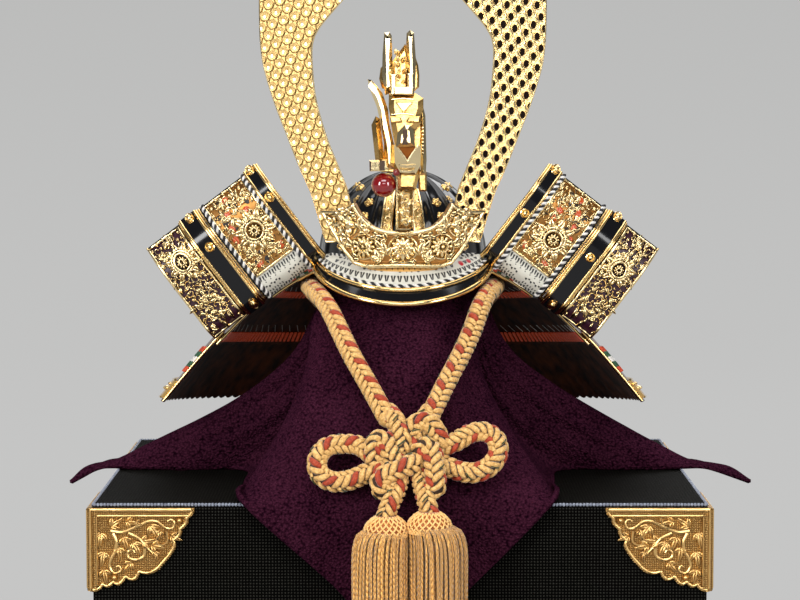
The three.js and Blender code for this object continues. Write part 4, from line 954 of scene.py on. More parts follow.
def leaf_pad(soup, place, at, turn, length, width, rise, lift=0.0, slot=0):
    """A raised pointed leaf with a grooved middle."""
    t = np.linspace(0, 1, 9)[:, None]
    s = np.linspace(-1, 1, 9)[None]
    half = width * np.sin(np.pi * t**0.8) ** 0.8 + 0.02
    along, across = t * length, half * s
    a = at[0] + along * math.cos(turn) - across * math.sin(turn)
    b = at[1] + along * math.sin(turn) + across * math.cos(turn)
    body = np.sqrt(np.clip(1 - s**2, 0, 1)) * (1 - 0.5 * np.exp(-((s / 0.2) ** 2)))
    h = lift + rise * body * (0.35 + 0.65 * np.sin(np.pi * t))
    soup.grid(place(a, b, h), slot)


def bloom(soup, place, at, radius, rise, lift=0.0, slot=0, petals=12, columns=72, rings=13, turn=0.0):
    """A raised layered flower."""
    angle = np.linspace(0, 2 * np.pi, columns, endpoint=False)[None]
    share = np.linspace(0.001, 1, rings)[:, None]
    edge = radius * (0.86 + 0.14 * np.abs(np.cos(petals * (angle + turn) / 2)))
    x, y = share * edge * np.cos(angle), share * edge * np.sin(angle)
    h = lift + rise * flower(x, y, 0, 0, radius * 1.02, petals, turn)
    h[-1] = lift - 0.2
    soup.grid(place(at[0] + x, at[1] + y, h), slot, wrap=True)


def ring_wire(soup, place, at, radius, lift, wire, points, sides=6, slot=0, caps=False):
    """A round wire that lies on a surface."""
    turn = np.linspace(0, 2 * np.pi, points)
    line = place(at[0] + radius * np.cos(turn), at[1] + radius * np.sin(turn), np.full(points, lift))
    sweep(soup, line, wire, sides, slot, caps=caps)


def stud(soup, place, at, radius, rise, lift=0.0, slot=0, columns=18):
    """A domed nail head in a small collar."""
    angle = np.linspace(0, 2 * np.pi, columns, endpoint=False)[None]
    shares = np.array([0.001, 0.35, 0.6, 0.75, 0.8, 0.88, 1.0])[:, None]
    levels = np.array([1.0, 0.88, 0.62, 0.28, 0.3, 0.42, 0.0])[:, None]
    x, y = shares * radius * np.cos(angle), shares * radius * np.sin(angle)
    soup.grid(place(at[0] + x, at[1] + y, lift + rise * levels + 0 * x), slot, wrap=True)


def scrolls(soup, place, within, pitch, rise, lift, slot, seed=1, avoid=(), radius=0.4):
    """Fills an outline with curling tendrils and leaves, row by row, like a carved scroll ground."""
    within = np.asarray(within, float)
    low, high = within.min(0), within.max(0)
    draws = np.random.default_rng(seed)
    row = 0
    b = low[1] + pitch * 0.5
    while b < high[1]:
        a = low[0] + pitch * (0.5 if row % 2 else 0.1)
        while a < high[0]:
            centre = np.array([a, b])
            reach = pitch * 0.47
            clear = inside(within, centre[None, 0], centre[None, 1])[0]
            clear &= to_line(centre[None, 0], centre[None, 1], within, True)[0] > reach * 0.62
            clear &= all(math.hypot(a - x, b - y) > r + reach * 0.7 for x, y, r in avoid)
            if clear:
                way = 1 if (row + int(a / pitch)) % 2 else -1
                start = draws.uniform(0, 6.28)
                spiral = curl(0, 0, reach, start, 0.95, 20)
                spiral[:, 1] *= way
                vine(soup, place, spiral + centre, radius, lift, slot)
                for k in range(3):
                    turn = start * way + way * (0.9 + 1.75 * k)
                    root = centre + reach * 0.86 * np.array([math.cos(turn), math.sin(turn)])
                    size = (pitch * 0.36, pitch * 0.13, rise)
                    leaf_pad(soup, place, root, turn + way * 0.7, *size, lift, slot)
                tip = spiral[-1] + centre
                stud(soup, place, tip, pitch * 0.085, rise * 0.9, lift, slot, 8)
            a += pitch
        b += pitch * 0.88
        row += 1


# Chest, board and post. Their solids have the right shapes and get better surfaces.


def resurface(node, material):
    for holder in bpy.data.objects[node].material_slots:
        holder.material = material


resurface("base_board", board_lacquer)
resurface("chest_body", chest_cloth)
resurface("chest_lid", chest_cloth)
resurface("stand_post", post_wood)

PIPING = {"pitch": 1.15, "radius": 0.62, "inset": 0.1}


def piping():
    """A row of stitches along the upper edges of the lid, pale as a painted highlight."""
    soup = Soup()
    x, y = CHEST_HALF[0] - PIPING["inset"], CHEST_HALF[1] - PIPING["inset"]
    corners = [(-x, -y), (x, -y), (x, y), (-x, y), (-x, -y)]
    for start, end in zip(corners[:-1], corners[1:]):
        start, end = np.array([*start, -PIPING["inset"]]), np.array([*end, -PIPING["inset"]])
        length = np.linalg.norm(end - start)
        count = int(length / PIPING["pitch"])
        way = (end - start) / length
        basis = [way, np.cross([0, 0, 1.0], way), [0, 0, 1.0]]
        for k in range(count):
            middle = start + way * (k + 0.5) * length / count
            ball(soup, middle, PIPING["radius"], 0, 6, 5, basis)
    return finished(soup.build("lid_piping", [piping_highlight_thread], CHEST))


piping()

# Corner fittings. Each leaf of a fitting is drawn from its corner, along its top edge and downwards.

FITTING = {"reach": 36.0, "drop": 28.7, "thickness": 0.9, "border": 2.9, "top": -1.0, "off": 0.3}
FITTING_LOBES = [
    {"swell": (0.993, 0.07), "hollow": (0.945, 0.132)},
    {"swell": (0.934, 0.2), "hollow": (0.884, 0.258)},
    {"swell": (0.87, 0.34), "hollow": (0.814, 0.401)},
    {"swell": (0.815, 0.5), "hollow": (0.706, 0.68)},
    {"swell": (0.6, 0.79), "hollow": (0.485, 0.78)},
    {"swell": (0.43, 0.875), "hollow": (0.355, 0.84)},
    {"swell": (0.29, 0.93), "hollow": (0.236, 0.905)},
    {"swell": (0.18, 0.96), "hollow": (0.136, 0.934)},
    {"swell": (0.08, 1.0), "hollow": (0, 1)},
]
FITTING_NAILS = [(30.9, 4.3), (8.6, 24.0)]
# Vines and leaves of a fitting, in millimetres from its corner.
FITTING_VINES = [
    [(7.4, 8.0), (11.2, 8.4), (16.2, 6.5), (20.4, 4.6), (23.2, 4.7), (26.6, 7.0), (28.6, 6.9), (29.2, 5.0),
     (28.0, 4.0), (26.9, 4.7)],
    [(13.4, 8.7), (17.2, 10.6), (19.4, 13.3), (21.5, 15.4)],
    [(26.7, 8.0), (26.7, 11.7), (24.2, 12.8), (22.9, 11.2), (23.8, 9.6), (25.0, 10.2)],
    [(8.1, 8.7), (9.4, 11.7), (8.9, 15.0), (7.5, 17.6), (7.0, 20.3), (8.6, 22.5), (10.8, 21.6), (10.2, 20.0),
     (9.2, 20.4)],
    [(19.1, 13.9), (18.6, 16.6), (16.2, 17.9), (13.5, 17.1), (13.2, 15.2), (14.8, 14.4), (15.6, 15.5)],
]
FITTING_LEAVES = [
    {"at": (7.0, 6.8), "turn": -35, "length": 5.4}, {"at": (4.4, 8.0), "turn": 100, "length": 5.6},
    {"at": (11.6, 9.6), "turn": 70, "length": 5.0}, {"at": (16.6, 6.4), "turn": -80, "length": 3.0},
    {"at": (20.6, 5.6), "turn": 55, "length": 5.6}, {"at": (24.4, 7.4), "turn": 100, "length": 3.6},
    {"at": (14.8, 11.4), "turn": 60, "length": 5.4}, {"at": (17.4, 12.0), "turn": -10, "length": 5.2},
    {"at": (20.8, 13.0), "turn": 10, "length": 5.0}, {"at": (10.0, 13.2), "turn": 80, "length": 5.0},
    {"at": (5.2, 14.6), "turn": 100, "length": 5.6}, {"at": (5.0, 20.8), "turn": 80, "length": 5.0},
    {"at": (14.8, 18.4), "turn": 130, "length": 4.6}, {"at": (27.4, 9.6), "turn": 20, "length": 4.4},
    {"at": (12.2, 4.6), "turn": 10, "length": 5.0}, {"at": (22.6, 14.6), "turn": 80, "length": 3.6},
]


def fitting_outline():
    reach, drop = FITTING["reach"], FITTING["drop"]
    points = [(0.0, 0.0), (reach, 0.0)]
    start = np.array([1.0, 0.0])
    for lobe in FITTING_LOBES:
        swell, end = np.array(lobe["swell"]), np.array(lobe["hollow"])
        pull = 2 * swell - (start + end) / 2
        for t in np.linspace(0, 1, 7)[1:]:
            p = (1 - t) ** 2 * start + 2 * t * (1 - t) * pull + t * t * end
            points.append((p[0] * reach, p[1] * drop))
        start = end
    return np.array(points)


def fitting_leaf(soup, place):
    outline = fitting_outline()
    lobes = outline[1:]
    border = FITTING["border"]
    base = FITTING["thickness"] - 0.25

    def lift(a, b):
        edge = to_line(a, b, lobes)
        rim = 0.55 * hump(edge - 0.55, 0.62)
        bars = 0.55 * (np.clip((border - b) * 4, 0, 1) + np.clip((border - a) * 4, 0, 1)).clip(0, 1)
        ridges = [0.5 * hump(b - 0.6, 0.55), 0.5 * hump(a - 0.6, 0.55), 0.3 * hump(b - border + 0.3, 0.4),
                  0.3 * hump(a - border + 0.3, 0.4)]
        return np.maximum(rim, bars + np.maximum.reduce(ridges))

    plate(soup, outline, 0.42, place, lift, base, 0)
    rim_line = lobes[2:-1] * 0.985 - 0.2
    vine(soup, place, rim_line, 0.42, base + 0.45, 1, thin=1)
    edge, reach, drop = 0.6, FITTING["reach"], FITTING["drop"]
    wires = [
        ([(edge, edge), (reach - 1, edge)], 0.5, 0.75, 2),
        ([(edge, edge), (edge, drop - 1)], 0.5, 0.75, 2),
        ([(border, border - 0.2), (reach - 2, border - 0.2)], 0.3, 0.6, 0.5),
        ([(border - 0.2, border), (border - 0.2, drop - 2)], 0.3, 0.6, 0.5),
    ]
    for line, wire, rise, step in wires:
        vine(soup, place, line, wire, base + rise, 1, thin=1, step=step)
    for line in FITTING_VINES:
        smooth = catmull(line, 12 * len(line))
        vine(soup, place, smooth, 0.62, base + 0.2, 1)
    for row in FITTING_LEAVES:
        turn = row["turn"] * DEGREES
        for spread, share in ((0, 1), (0.85, 0.62), (-0.85, 0.62)):
            at = np.array(row["at"]) + 0.12 * row["length"] * np.array([math.cos(turn), math.sin(turn)])
            size = (row["length"] * share, row["length"] * 0.19, 0.85)
            leaf_pad(soup, place, at, turn + spread, *size, base, 1)
    for at in FITTING_NAILS:
        stud(soup, place, at, 1.3, 1.3, base + 0.1, 1)


def corner_fitting(name, flip_x, flip_y):
    soup = Soup()
    x0, y0 = CHEST_HALF[0] + FITTING["off"], CHEST_HALF[1] + FITTING["off"]
    out = FITTING["thickness"]

    def front(a, b, h):
        return np.stack([flip_x * (a - x0 - out), flip_y * (-y0 - h), FITTING["top"] - b], -1)

    def side(a, b, h):
        return np.stack([flip_x * (-x0 - h), flip_y * (a - y0 - out), FITTING["top"] - b], -1)

    fitting_leaf(soup, front)
    fitting_leaf(soup, side)
    piece = soup.build(f"chased_{name}", [fitting_ground, fitting_gold], CHEST, sharp=50)
    return finished(piece, [name])


for name, flip_x, flip_y in (
    ("corner_fitting_front_left", 1, 1), ("corner_fitting_front_right", -1, 1),
    ("corner_fitting_back_left", 1, -1), ("corner_fitting_back_right", -1, -1),
):
    corner_fitting(name, flip_x, flip_y)

# The bowl with its ribs, flower studs, crown fitting and gilt strips

RIBS = {"count": 16, "rise": 0.7, "sharpness": 5, "columns": 14, "rows": 44, "top": 0.985}


def bowl_point(turn, climb, off=0.0):
    angle, rise = turn * 2 * np.pi, climb * np.pi / 2
    x = (BOWL["half_width"] + off) * np.sin(angle) * np.cos(rise)
    y = -(BOWL["half_depth"] + off) * np.cos(angle) * np.cos(rise)
    z = BOWL["rim"] + (BOWL["rise"] + off) * np.sin(rise)
    return np.stack(np.broadcast_arrays(x, y, z), -1)


def ribbed_bowl():
    columns = RIBS["count"] * RIBS["columns"]
    turn = np.linspace(0, 1, columns, endpoint=False)[None]
    climb = np.linspace(0, RIBS["top"], RIBS["rows"])[:, None]
    wave = np.abs(np.cos(np.pi * RIBS["count"] * turn)) ** (2 * RIBS["sharpness"])
    rib = RIBS["rise"] * np.clip(wave * 1.25, 0, 1) * np.clip((0.97 - climb) * 6, 0.25, 1)
    outer = bowl_point(turn, climb, rib)
    skirt = outer[:1] - (0, 0, BOWL["skirt"])
    inner = bowl_point(turn, climb, -BOWL["wall"])
    lower = inner[:1] - (0, 0, BOWL["skirt"])
    hub = np.broadcast_to([0, 0, BOWL["rim"] + BOWL["rise"]], outer[:1].shape)
    inner_hub = hub - (0, 0, BOWL["wall"])
    soup = Soup()
    sheet = np.concatenate([hub, outer[::-1], skirt, lower, inner, inner_hub])
    soup.grid(sheet, 0, wrap=True)
    piece = soup.build("ribbed_bowl", [black_lacquer], HELMET, sharp=60)
    return finished(piece, ["hachi_bowl"])


ribbed_bowl()
FLOWER_STUDS = [
    {"turn": 0.09, "climbs": (0.22, 0.34, 0.46)}, {"turn": 0.133, "climbs": (0.34, 0.48)},
    {"turn": 0.17, "climbs": (0.22, 0.6)}, {"turn": 0.219, "climbs": (0.22, 0.44, 0.62)},
    {"turn": 0.281, "climbs": (0.22, 0.44, 0.62)}, {"turn": 0.344, "climbs": (0.22, 0.44, 0.62)},
    {"turn": 0.406, "climbs": (0.22, 0.44, 0.62)}, {"turn": 0.469, "climbs": (0.22, 0.44, 0.62)},
]


def surface_frame(point, a, b):
    """A place function on the tangent plane of a surface at (a, b)."""
    eps = 1e-4
    middle = point(a, b)
    right = unit(point(a + eps, b) - point(a - eps, b))
    normal = unit(np.cross(right, point(a, b + eps) - point(a, b - eps)))
    up = np.cross(normal, right)

    def place(x, y, h):
        x, y, h = np.broadcast_arrays(x, y, h)
        return middle + x[..., None] * right + y[..., None] * up + h[..., None] * normal

    return place


def bowl_studs():
    soup = Soup()
    for row in FLOWER_STUDS:
        for side in (-1, 1):
            for climb in row["climbs"]:
                place = surface_frame(bowl_point, side * row["turn"], climb)
                bloom(soup, place, (0, 0), 1.95, 0.75, 0.12, 0, 5, 40, 8, 0.4)
                stud(soup, place, (0, 0), 0.55, 0.9, 0.3, 0, 10)
    return finished(soup.build("bowl_flower_studs", [gold], HELMET))


bowl_studs()


def crown_fitting():
    soup = Soup()
    base = BOWL["rim"] + BOWL["rise"] + GAP

    def place(x, y, h):
        x, y, h = np.broadcast_arrays(x, y, h)
        drop = 0.016 * (x**2 + y**2)
        return np.stack([x, y, base - drop + h], -1)

    bloom(soup, place, (0, 0), 8.0, 1.0, 0.1, 0, 16, 128, 16)
    bloom(soup, place, (0, 0), 5.6, 1.2, 1.0, 0, 12, 96, 12)
    for radius, lift, wire in ((3.6, 2.0, 0.5), (3.1, 2.9, 0.55), (7.7, 0.1, 0.45)):
        ring_wire(soup, place, (0, 0), radius, lift, wire, 32, 7, caps=True)
    return finished(soup.build("crown_flower_fitting", [gold], HELMET), ["crown_fitting"])


crown_fitting()
STRIPS = {"width": 4.6, "side_width": 4.4, "spacing": 6.1, "bottom": 0.1, "top": 0.62, "thickness": 1.0}


def gilt_strips():
    soup = Soup()
    under = RIBS["rise"] + GAP
    per_turn = 2 * np.pi * BOWL["half_width"]

    def patch(middle, width, low, high):
        length = (high - low) * np.pi / 2 * BOWL["rise"]

        def place(a, b, h):
            a, b, h = np.broadcast_arrays(a, b, h)
            return bowl_point((middle + a) / per_turn, low + (high - low) * b / length, under + h)

        outline = np.array([(-width / 2, 0), (width / 2, 0), (width / 2, length - 1.5), (0, length),
                            (-width / 2, length - 1.5)])
        plate(soup, outline, 0.5, place, no_relief, STRIPS["thickness"] - 0.35, 1)
        edge = width / 2 - 0.35
        top = length - 1.7
        for side in (-1, 1):
            wire = (0.42, STRIPS["thickness"] - 0.3, 0)
            vine(soup, place, [(side * edge, 0.3), (side * edge, top)], *wire, thin=1, step=1)
            vine(soup, place, [(side * edge, top), (0, length - 0.4)], *wire, thin=1)
        for k in range(int(length / 3.1)):
            b = 1.6 + k * 3.1
            way = 1 if k % 2 else -1
            spiral = curl(0, 0, width * 0.26, 0, 0.9, 14)
            vine(soup, place, spiral * (way, 1) + (0, b), 0.3, STRIPS["thickness"] - 0.3, 0)
            leaf_pad(soup, place, (0, b + 0.6), (90 - 50 * way) * DEGREES, 1.9, 0.5, 0.5,
                     STRIPS["thickness"] - 0.35, 0)

    patch(0, STRIPS["width"], STRIPS["bottom"], STRIPS["top"])
    for side in (-1, 1):
        patch(side * STRIPS["spacing"], STRIPS["side_width"], STRIPS["bottom"], STRIPS["top"] * 0.94)
    patch(0, 2 * STRIPS["spacing"] + STRIPS["side_width"], STRIPS["bottom"] - 0.02, STRIPS["bottom"] + 0.05)
    piece = soup.build("chased_gilt_strips", [bright_gold, relief_gold], HELMET, sharp=50)
    return finished(piece, ["front_gilt_strips"])


gilt_strips()

# The visor with its rims, twisted cord and printed leather

VISOR = {
    "reach": 8.4, "end_reach": 5.2, "spread": 57.5, "slope": 1.08, "end_slope": 0.4, "lift": 1.9,
    "bulge": 1.1, "thickness": 1.5, "clear": 1.21, "rim": 0.65, "upper_rim": 0.7,
}


# Rows of printed strokes, by where they start and end between the root of the visor and its edge.
LEATHER_STROKES = ((0.5, 0.63), (0.3, 0.42), (0.12, 0.2))


def visor_point(across, out, h=0.0):
    """A point of the visor. across runs 0 to 1 from left to right, out from its root to its edge."""
    across, out, h = np.broadcast_arrays(across, out, h)
    angle = (across * 2 - 1) * VISOR["spread"] * DEGREES
    swell = np.clip(np.cos(angle * 90 / VISOR["spread"]), 0, None) ** 0.7
    reach = VISOR["end_reach"] + VISOR["reach"] * swell
    slope = VISOR["slope"] * (VISOR["end_slope"] + (1 - VISOR["end_slope"]) * swell)
    start = VISOR["clear"] + out * reach
    lean = np.arctan(slope)
    x = (BOWL["half_width"] + start + h * np.sin(lean)) * np.sin(angle)
    y = -(BOWL["half_depth"] + start + h * np.sin(lean)) * np.cos(angle)
    bulge = VISOR["bulge"] * np.sin(np.pi * out)
    z = BOWL["rim"] + VISOR["lift"] - slope * reach * out + bulge + h * np.cos(lean)
    return np.stack([x, y, z], -1)


def border_walls(soup, top, bottom, slot):
    """The four walls between the edges of two grids of points."""
    back = slice(None, None, -1)
    for where in ((0, slice(None)), (slice(None), -1), (-1, back), (back, 0)):
        soup.grid(np.stack([bottom[where], top[where]]), slot)


def slab_grid(soup, place, us, vs, under, over, slot=0, under_slot=None):
    """A closed plate over a rectangle of places."""
    u, v = np.meshgrid(us, vs)
    top, bottom = place(u, v, over + 0 * u), place(u, v, under + 0 * u)
    soup.grid(top, slot)
    soup.grid(bottom[::-1], slot if under_slot is None else under_slot)
    border_walls(soup, top, bottom, slot)


def visor():
    soup = Soup()
    half = VISOR["thickness"] / 2
    slab_grid(soup, visor_point, np.linspace(0, 1, 121), np.linspace(0, 1, 14), -half, half)
    # White leather lies between the root and the upper rim, printed with rows of short black strokes.
    wide, tall = np.linspace(0.015, 0.985, 121), np.linspace(0.02, 0.72, 9)
    slab_grid(soup, visor_point, wide, tall, half - 0.2, half + 0.22, 1)
    across = np.linspace(0.03, 0.97, 66)
    for k, place in enumerate(across):
        lean = 0.006 if k % 2 else -0.004
        for low, high in LEATHER_STROKES:
            if low < 0.4 and (k % 3 == 0 or (k // 3) % 4 == 1):
                continue
            start, end = visor_point(place, low, half + 0.26), visor_point(place + lean, high, half + 0.26)
            bar(soup, start, end, 0.66, 0.16, 2, (0, -0.5, 1), 0.32, 0.16)
    # Two red dots and, under the crest, tan leather.
    arc = 2 * VISOR["spread"] * DEGREES * (BOWL["half_width"] + VISOR["reach"])
    for x in (0.806, 0.86):

        def beside(a, b, h):
            return visor_point(x + a / arc, 0.36 + b / 11, half + h)

        stud(soup, beside, (0, 0), 1.1, 0.3, 0.2, 3, 14)
    slab_grid(soup, visor_point, np.linspace(0.33, 0.67, 30), np.linspace(0.02, 0.4, 5), half, half + 0.36, 4)
    for x in np.linspace(0.34, 0.66, 13):
        start, end = visor_point(x, 0.24, half + 0.42), visor_point(x + 0.004, 0.37, half + 0.42)
        bar(soup, start, end, 0.45, 0.14, 2, (0, -0.5, 1), 0.2, 0.14)
    line = visor_point(np.linspace(0.012, 0.988, 200), 0.73 + np.zeros(200), half + 0.3)
    rope(soup, line, 0.95, 3.4, (5, 6), 6)
    root = visor_point(np.linspace(0.02, 0.98, 120), 0.02 + np.zeros(120), half + 0.2)
    rope(soup, root, 0.7, 2.6, (5, 6), 5)
    piece = soup.build(
        "lacquered_visor",
        [black_lacquer, printed_leather, leather_ink, leather_red, tan_leather, edging_white, edging_black],
        HELMET, sharp=45,
    )
    return finished(piece, ["visor"])


def visor_rim(name, out, lift, forward, wire):
    across = np.linspace(0.015, 0.985, 160)
    angle = (across * 2 - 1) * VISOR["spread"] * DEGREES
    shift = np.stack([np.sin(angle) * forward, -np.cos(angle) * forward, lift + 0 * angle], 1)
    soup = Soup()
    line = visor_point(across, out + 0 * across) + shift
    sweep(soup, line, wire, 12, 0)
    for end in (line[0], line[-1]):
        ball(soup, end, wire * 1.12, 0, 12, 8)
    return finished(soup.build(f"polished_{name}", [edge_gold], HELMET), [name])


visor()
RIM_SEAT = VISOR["rim"] + GAP
visor_rim("visor_rim_lower", 0.99, -RIM_SEAT * 0.6, RIM_SEAT * 0.8, VISOR["rim"] + 0.35)
UPPER_LIFT = (VISOR["thickness"] / 2 + RIM_SEAT) * 0.78 * 0.65
visor_rim("visor_rim_upper", VISOR["upper_rim"] + 0.1, UPPER_LIFT, UPPER_LIFT, VISOR["rim"] + 0.2)

# The crest base: a bent plate with a raised border, five rosettes and leaves

CREST = {"half_width": 29.0, "height": 23.0, "lift": 0.9, "thickness": 1.8, "bend": 45.0, "stand": 39.3,
         "lean": 0.09, "unrolled": 1.06}
CREST_FOOT = BOWL["rim"] - CREST["lift"]
CREST_OUTLINE = [
    (0, 0.01), (0.42, 0), (0.56, 0.05), (0.67, 0.22), (0.82, 0.52), (1, 0.88), (0.72, 0.88), (0.55, 1),
    (0.46, 0.81), (0.33, 0.65), (0.16, 0.58), (0, 0.57),
]
ROSETTES = [
    {"across": 0, "up": 0.3, "radius": 4.6, "petals": 12, "rise": 1.35},
    {"across": 0.46, "up": 0.33, "radius": 4.2, "petals": 12, "rise": 2.1},
    {"across": 0.7, "up": 0.66, "radius": 4.2, "petals": 6, "rise": 2.2},
]
CREST_LEAVES = [
    {"at": (7.6, 2.6), "turn": 62, "length": 4.6}, {"at": (9.4, 2.4), "turn": 100, "length": 4.2},
    {"at": (7.2, 3.0), "turn": 18, "length": 4.0}, {"at": (5.4, 10.2), "turn": 20, "length": 4.4},
    {"at": (8.2, 11.6), "turn": -18, "length": 3.8}, {"at": (13.0, 12.0), "turn": 60, "length": 4.2},
    {"at": (15.2, 13.6), "turn": 100, "length": 5.2}, {"at": (17.6, 7.4), "turn": 60, "length": 4.4},
    {"at": (19.2, 10.0), "turn": 40, "length": 4.4}, {"at": (15.0, 3.0), "turn": 40, "length": 3.8},
    {"at": (24.6, 15.4), "turn": 40, "length": 4.6}, {"at": (16.0, 18.8), "turn": 20, "length": 3.6},
    {"at": (4.6, 1.8), "turn": 175, "length": 3.4}, {"at": (1.2, 11.8), "turn": 10, "length": 3.2},
    {"at": (5.6, 4.4), "turn": 75, "length": 5.6}, {"at": (6.6, 6.4), "turn": 50, "length": 4.6},
    {"at": (20.4, 6.6), "turn": 66, "length": 5.0}, {"at": (11.2, 13.4), "turn": 30, "length": 4.6},
    {"at": (18.8, 19.2), "turn": 10, "length": 4.2}, {"at": (21.4, 19.4), "turn": -10, "length": 4.4},
]


def crest_place(a, b, h):
    a, b, h = np.broadcast_arrays(a, b, h)
    angle, radius = a / CREST["bend"], CREST["bend"] + h
    y = CREST["bend"] - CREST["stand"] - radius * np.cos(angle) - CREST["lean"] * b
    return np.stack([radius * np.sin(angle), y, CREST_FOOT + b], -1)


def crest_base():
    widest = CREST["half_width"] * CREST["unrolled"]
    half = np.array(CREST_OUTLINE, float) * (widest, CREST["height"])
    smooth = [half[:1]]
    # The lower edge and the upper hollow are curves. The corners between them are kept.
    for low, high in ((0, 2), (2, 5), (5, 6), (6, 7), (7, 11)):
        smooth.append(catmull(half[low:high + 1], 5 * (high - low) + 1)[1:])
    half = np.vstack(smooth)
    outline = np.vstack([half, half[1:-1][::-1] * (-1, 1)])
    soup = Soup()
    ground = CREST["thickness"]
    plate(soup, outline, 0.6, crest_place, no_relief, ground, 1)
    inset = []
    closed = np.vstack([outline[-1:], outline, outline[:1]])
    for before, here, after in zip(closed[:-2], closed[1:-1], closed[2:]):
        way = unit(after - before)
        inset.append(here + 0.75 * np.array([-way[1], way[0]]))
    border = np.array(inset + inset[:1])
    sweep(soup, crest_place(border[:, 0], border[:, 1], ground + 0.25), 0.85, 8, 0, caps=False)
    inner = border.copy()
    for k in range(1, len(border) - 1):
        way = unit(border[k + 1] - border[k - 1])
        inner[k] = border[k] + 1.35 * np.array([-way[1], way[0]])
    sweep(soup, crest_place(inner[1:-1, 0], inner[1:-1, 1], ground + 0.05), 0.28, 6, 1, caps=False)
    for row in ROSETTES:
        for side in ((1,) if row["across"] == 0 else (-1, 1)):
            at = (side * row["across"] * CREST["half_width"], row["up"] * CREST["height"])
            count = row["petals"]
            bloom(soup, crest_place, at, row["radius"], row["rise"], ground + 0.05, 0, count, count * 6)
            stud(soup, crest_place, at, row["radius"] * 0.28, row["rise"] + 0.15, ground + 0.5, 0, 12)
            for share, wire, up in ((1.06, 0.34, 0.25), (0.42, 0.24, row["rise"] * 0.8)):
                ring_wire(soup, crest_place, at, row["radius"] * share, ground + up, wire, 40)
    for row in CREST_LEAVES:
        for side in (-1, 1):
            turn = row["turn"] if side > 0 else 180 - row["turn"]
            at = (side * row["at"][0], row["at"][1])
            for spread, share in ((0, 1), (0.8, 0.6), (-0.8, 0.6)):
                leaf_pad(soup, crest_place, at, turn * DEGREES + spread, row["length"] * share * 1.15,
                         row["length"] * 0.25, 1.4, ground, 0)
    piece = soup.build("chased_crest_base", [bright_gold, ground_gold], HELMET, sharp=55)
    return finished(piece, ["crest_base"])


crest_base()

# The pair of flat horns. Their scales and openings are drawn on plain plates, with light and shade painted
# into them.

HORN = {"thickness": 1.3, "height": 118.0, "half_span": 52.4, "yaw": 18, "root": 0.47}
HORN_ROOT = CREST_FOOT + CREST["height"] * 0.84
HORN_INNER = [
    (0.42, -0.09), (0.35, 0), (0.363, 0.06), (0.44, 0.145), (0.52, 0.23), (0.594, 0.34), (0.62, 0.44),
    (0.618, 0.51), (0.563, 0.56), (0.41, 0.635), (0.27, 0.7),
]
HORN_OUTER = [
    (0.995, 0.7), (1, 0.635), (0.998, 0.56), (0.993, 0.51), (0.97, 0.44), (0.9, 0.34), (0.8, 0.23),
    (0.72, 0.145), (0.63, 0.06), (0.585, 0), (0.52, -0.09),
]
HORN_SCOOP = [(0.26, 0.71), (0.46, 0.7), (0.65, 0.72), (0.79, 0.78), (0.915, 0.915), (0.98, 0.8)]
SCALES = {"first": (4.1, -1.4), "second": (2.7, 2.8), "hole": (0.95, 1.4)}


def scale_material(name, hole, painted_rim_tone, size=1.0, level=1.0, matt=0.24):
    """Rounded scales with a leaf-shaped opening drawn under each one, on a slanted lattice. The openings, the
    rims and the level of the scales carry painted light and shade.
    """
    nodes = Nodes(name, (0.9, 0.66, 0.3), 0.22, 1.0)
    u, v, _ = nodes.split(nodes.place("UV"))
    (ax, ay), (bx, by) = SCALES["first"], SCALES["second"]
    area = ax * by - ay * bx

    def mixed(first, second):
        return nodes.math("ADD", nodes.math("MULTIPLY", u, first), nodes.math("MULTIPLY", v, second))

    i = nodes.math("SUBTRACT", nodes.math("FRACT", mixed(by / area, -bx / area)), 0.5)
    j = nodes.math("SUBTRACT", nodes.math("FRACT", mixed(-ay / area, ax / area)), 0.5)
    du = nodes.math("ADD", nodes.math("MULTIPLY", i, ax), nodes.math("MULTIPLY", j, bx))
    dv = nodes.math("ADD", nodes.math("MULTIPLY", i, ay), nodes.math("MULTIPLY", j, by))
    wide, tall = SCALES["hole"]

    def reach(dx, dy, w, t):
        a = nodes.math("POWER", nodes.math("DIVIDE", nodes.math("ABSOLUTE", dx), w), 2)
        b = nodes.math("POWER", nodes.math("DIVIDE", nodes.math("ABSOLUTE", dy), t), 2)
        return nodes.math("SQRT", nodes.math("ADD", a, b))

    hole_reach = reach(du, nodes.math("ADD", dv, 0.1), wide * size, tall * size)
    arch = reach(du, nodes.math("ADD", dv, -0.4), wide * 2.0, tall * 1.55)
    open_part = nodes.range(hole_reach, 0.88, 1.06)
    rim = nodes.range(nodes.math("ABSOLUTE", nodes.math("SUBTRACT", arch, 1.0)), 0.16, 0.0)
    grain = nodes.noise(nodes.place(), 2600, 3)
    # A level below one dims the scales: painted shade.
    low, high = (tuple(level * c for c in color) for color in ((0.90, 0.64, 0.27), (0.80, 0.50, 0.17)))
    tone = nodes.blend(nodes.range(grain, 0.35, 0.65), low, high)
    # The rim's colour is painted: a highlight on one horn, shade on the other.
    tone = nodes.blend(rim, tone, painted_rim_tone)
    # The opening's colour is painted: shade on one horn, a pale reflection on the other.
    nodes.color(nodes.blend(open_part, hole, tone))
    nodes.roughness(nodes.range(open_part, 0, 1, 0.45, matt))
    body = nodes.math("MULTIPLY", nodes.math("SUBTRACT", 1.0, nodes.range(arch, 0.0, 1.2)), 0.8)
    height = nodes.math("ADD", nodes.math("ADD", body, nodes.math("MULTIPLY", rim, 0.35)),
                        nodes.math("MULTIPLY", grain, 0.18))
    nodes.bump(nodes.math("MULTIPLY", height, open_part), 0.55 * MM)
    return nodes.material


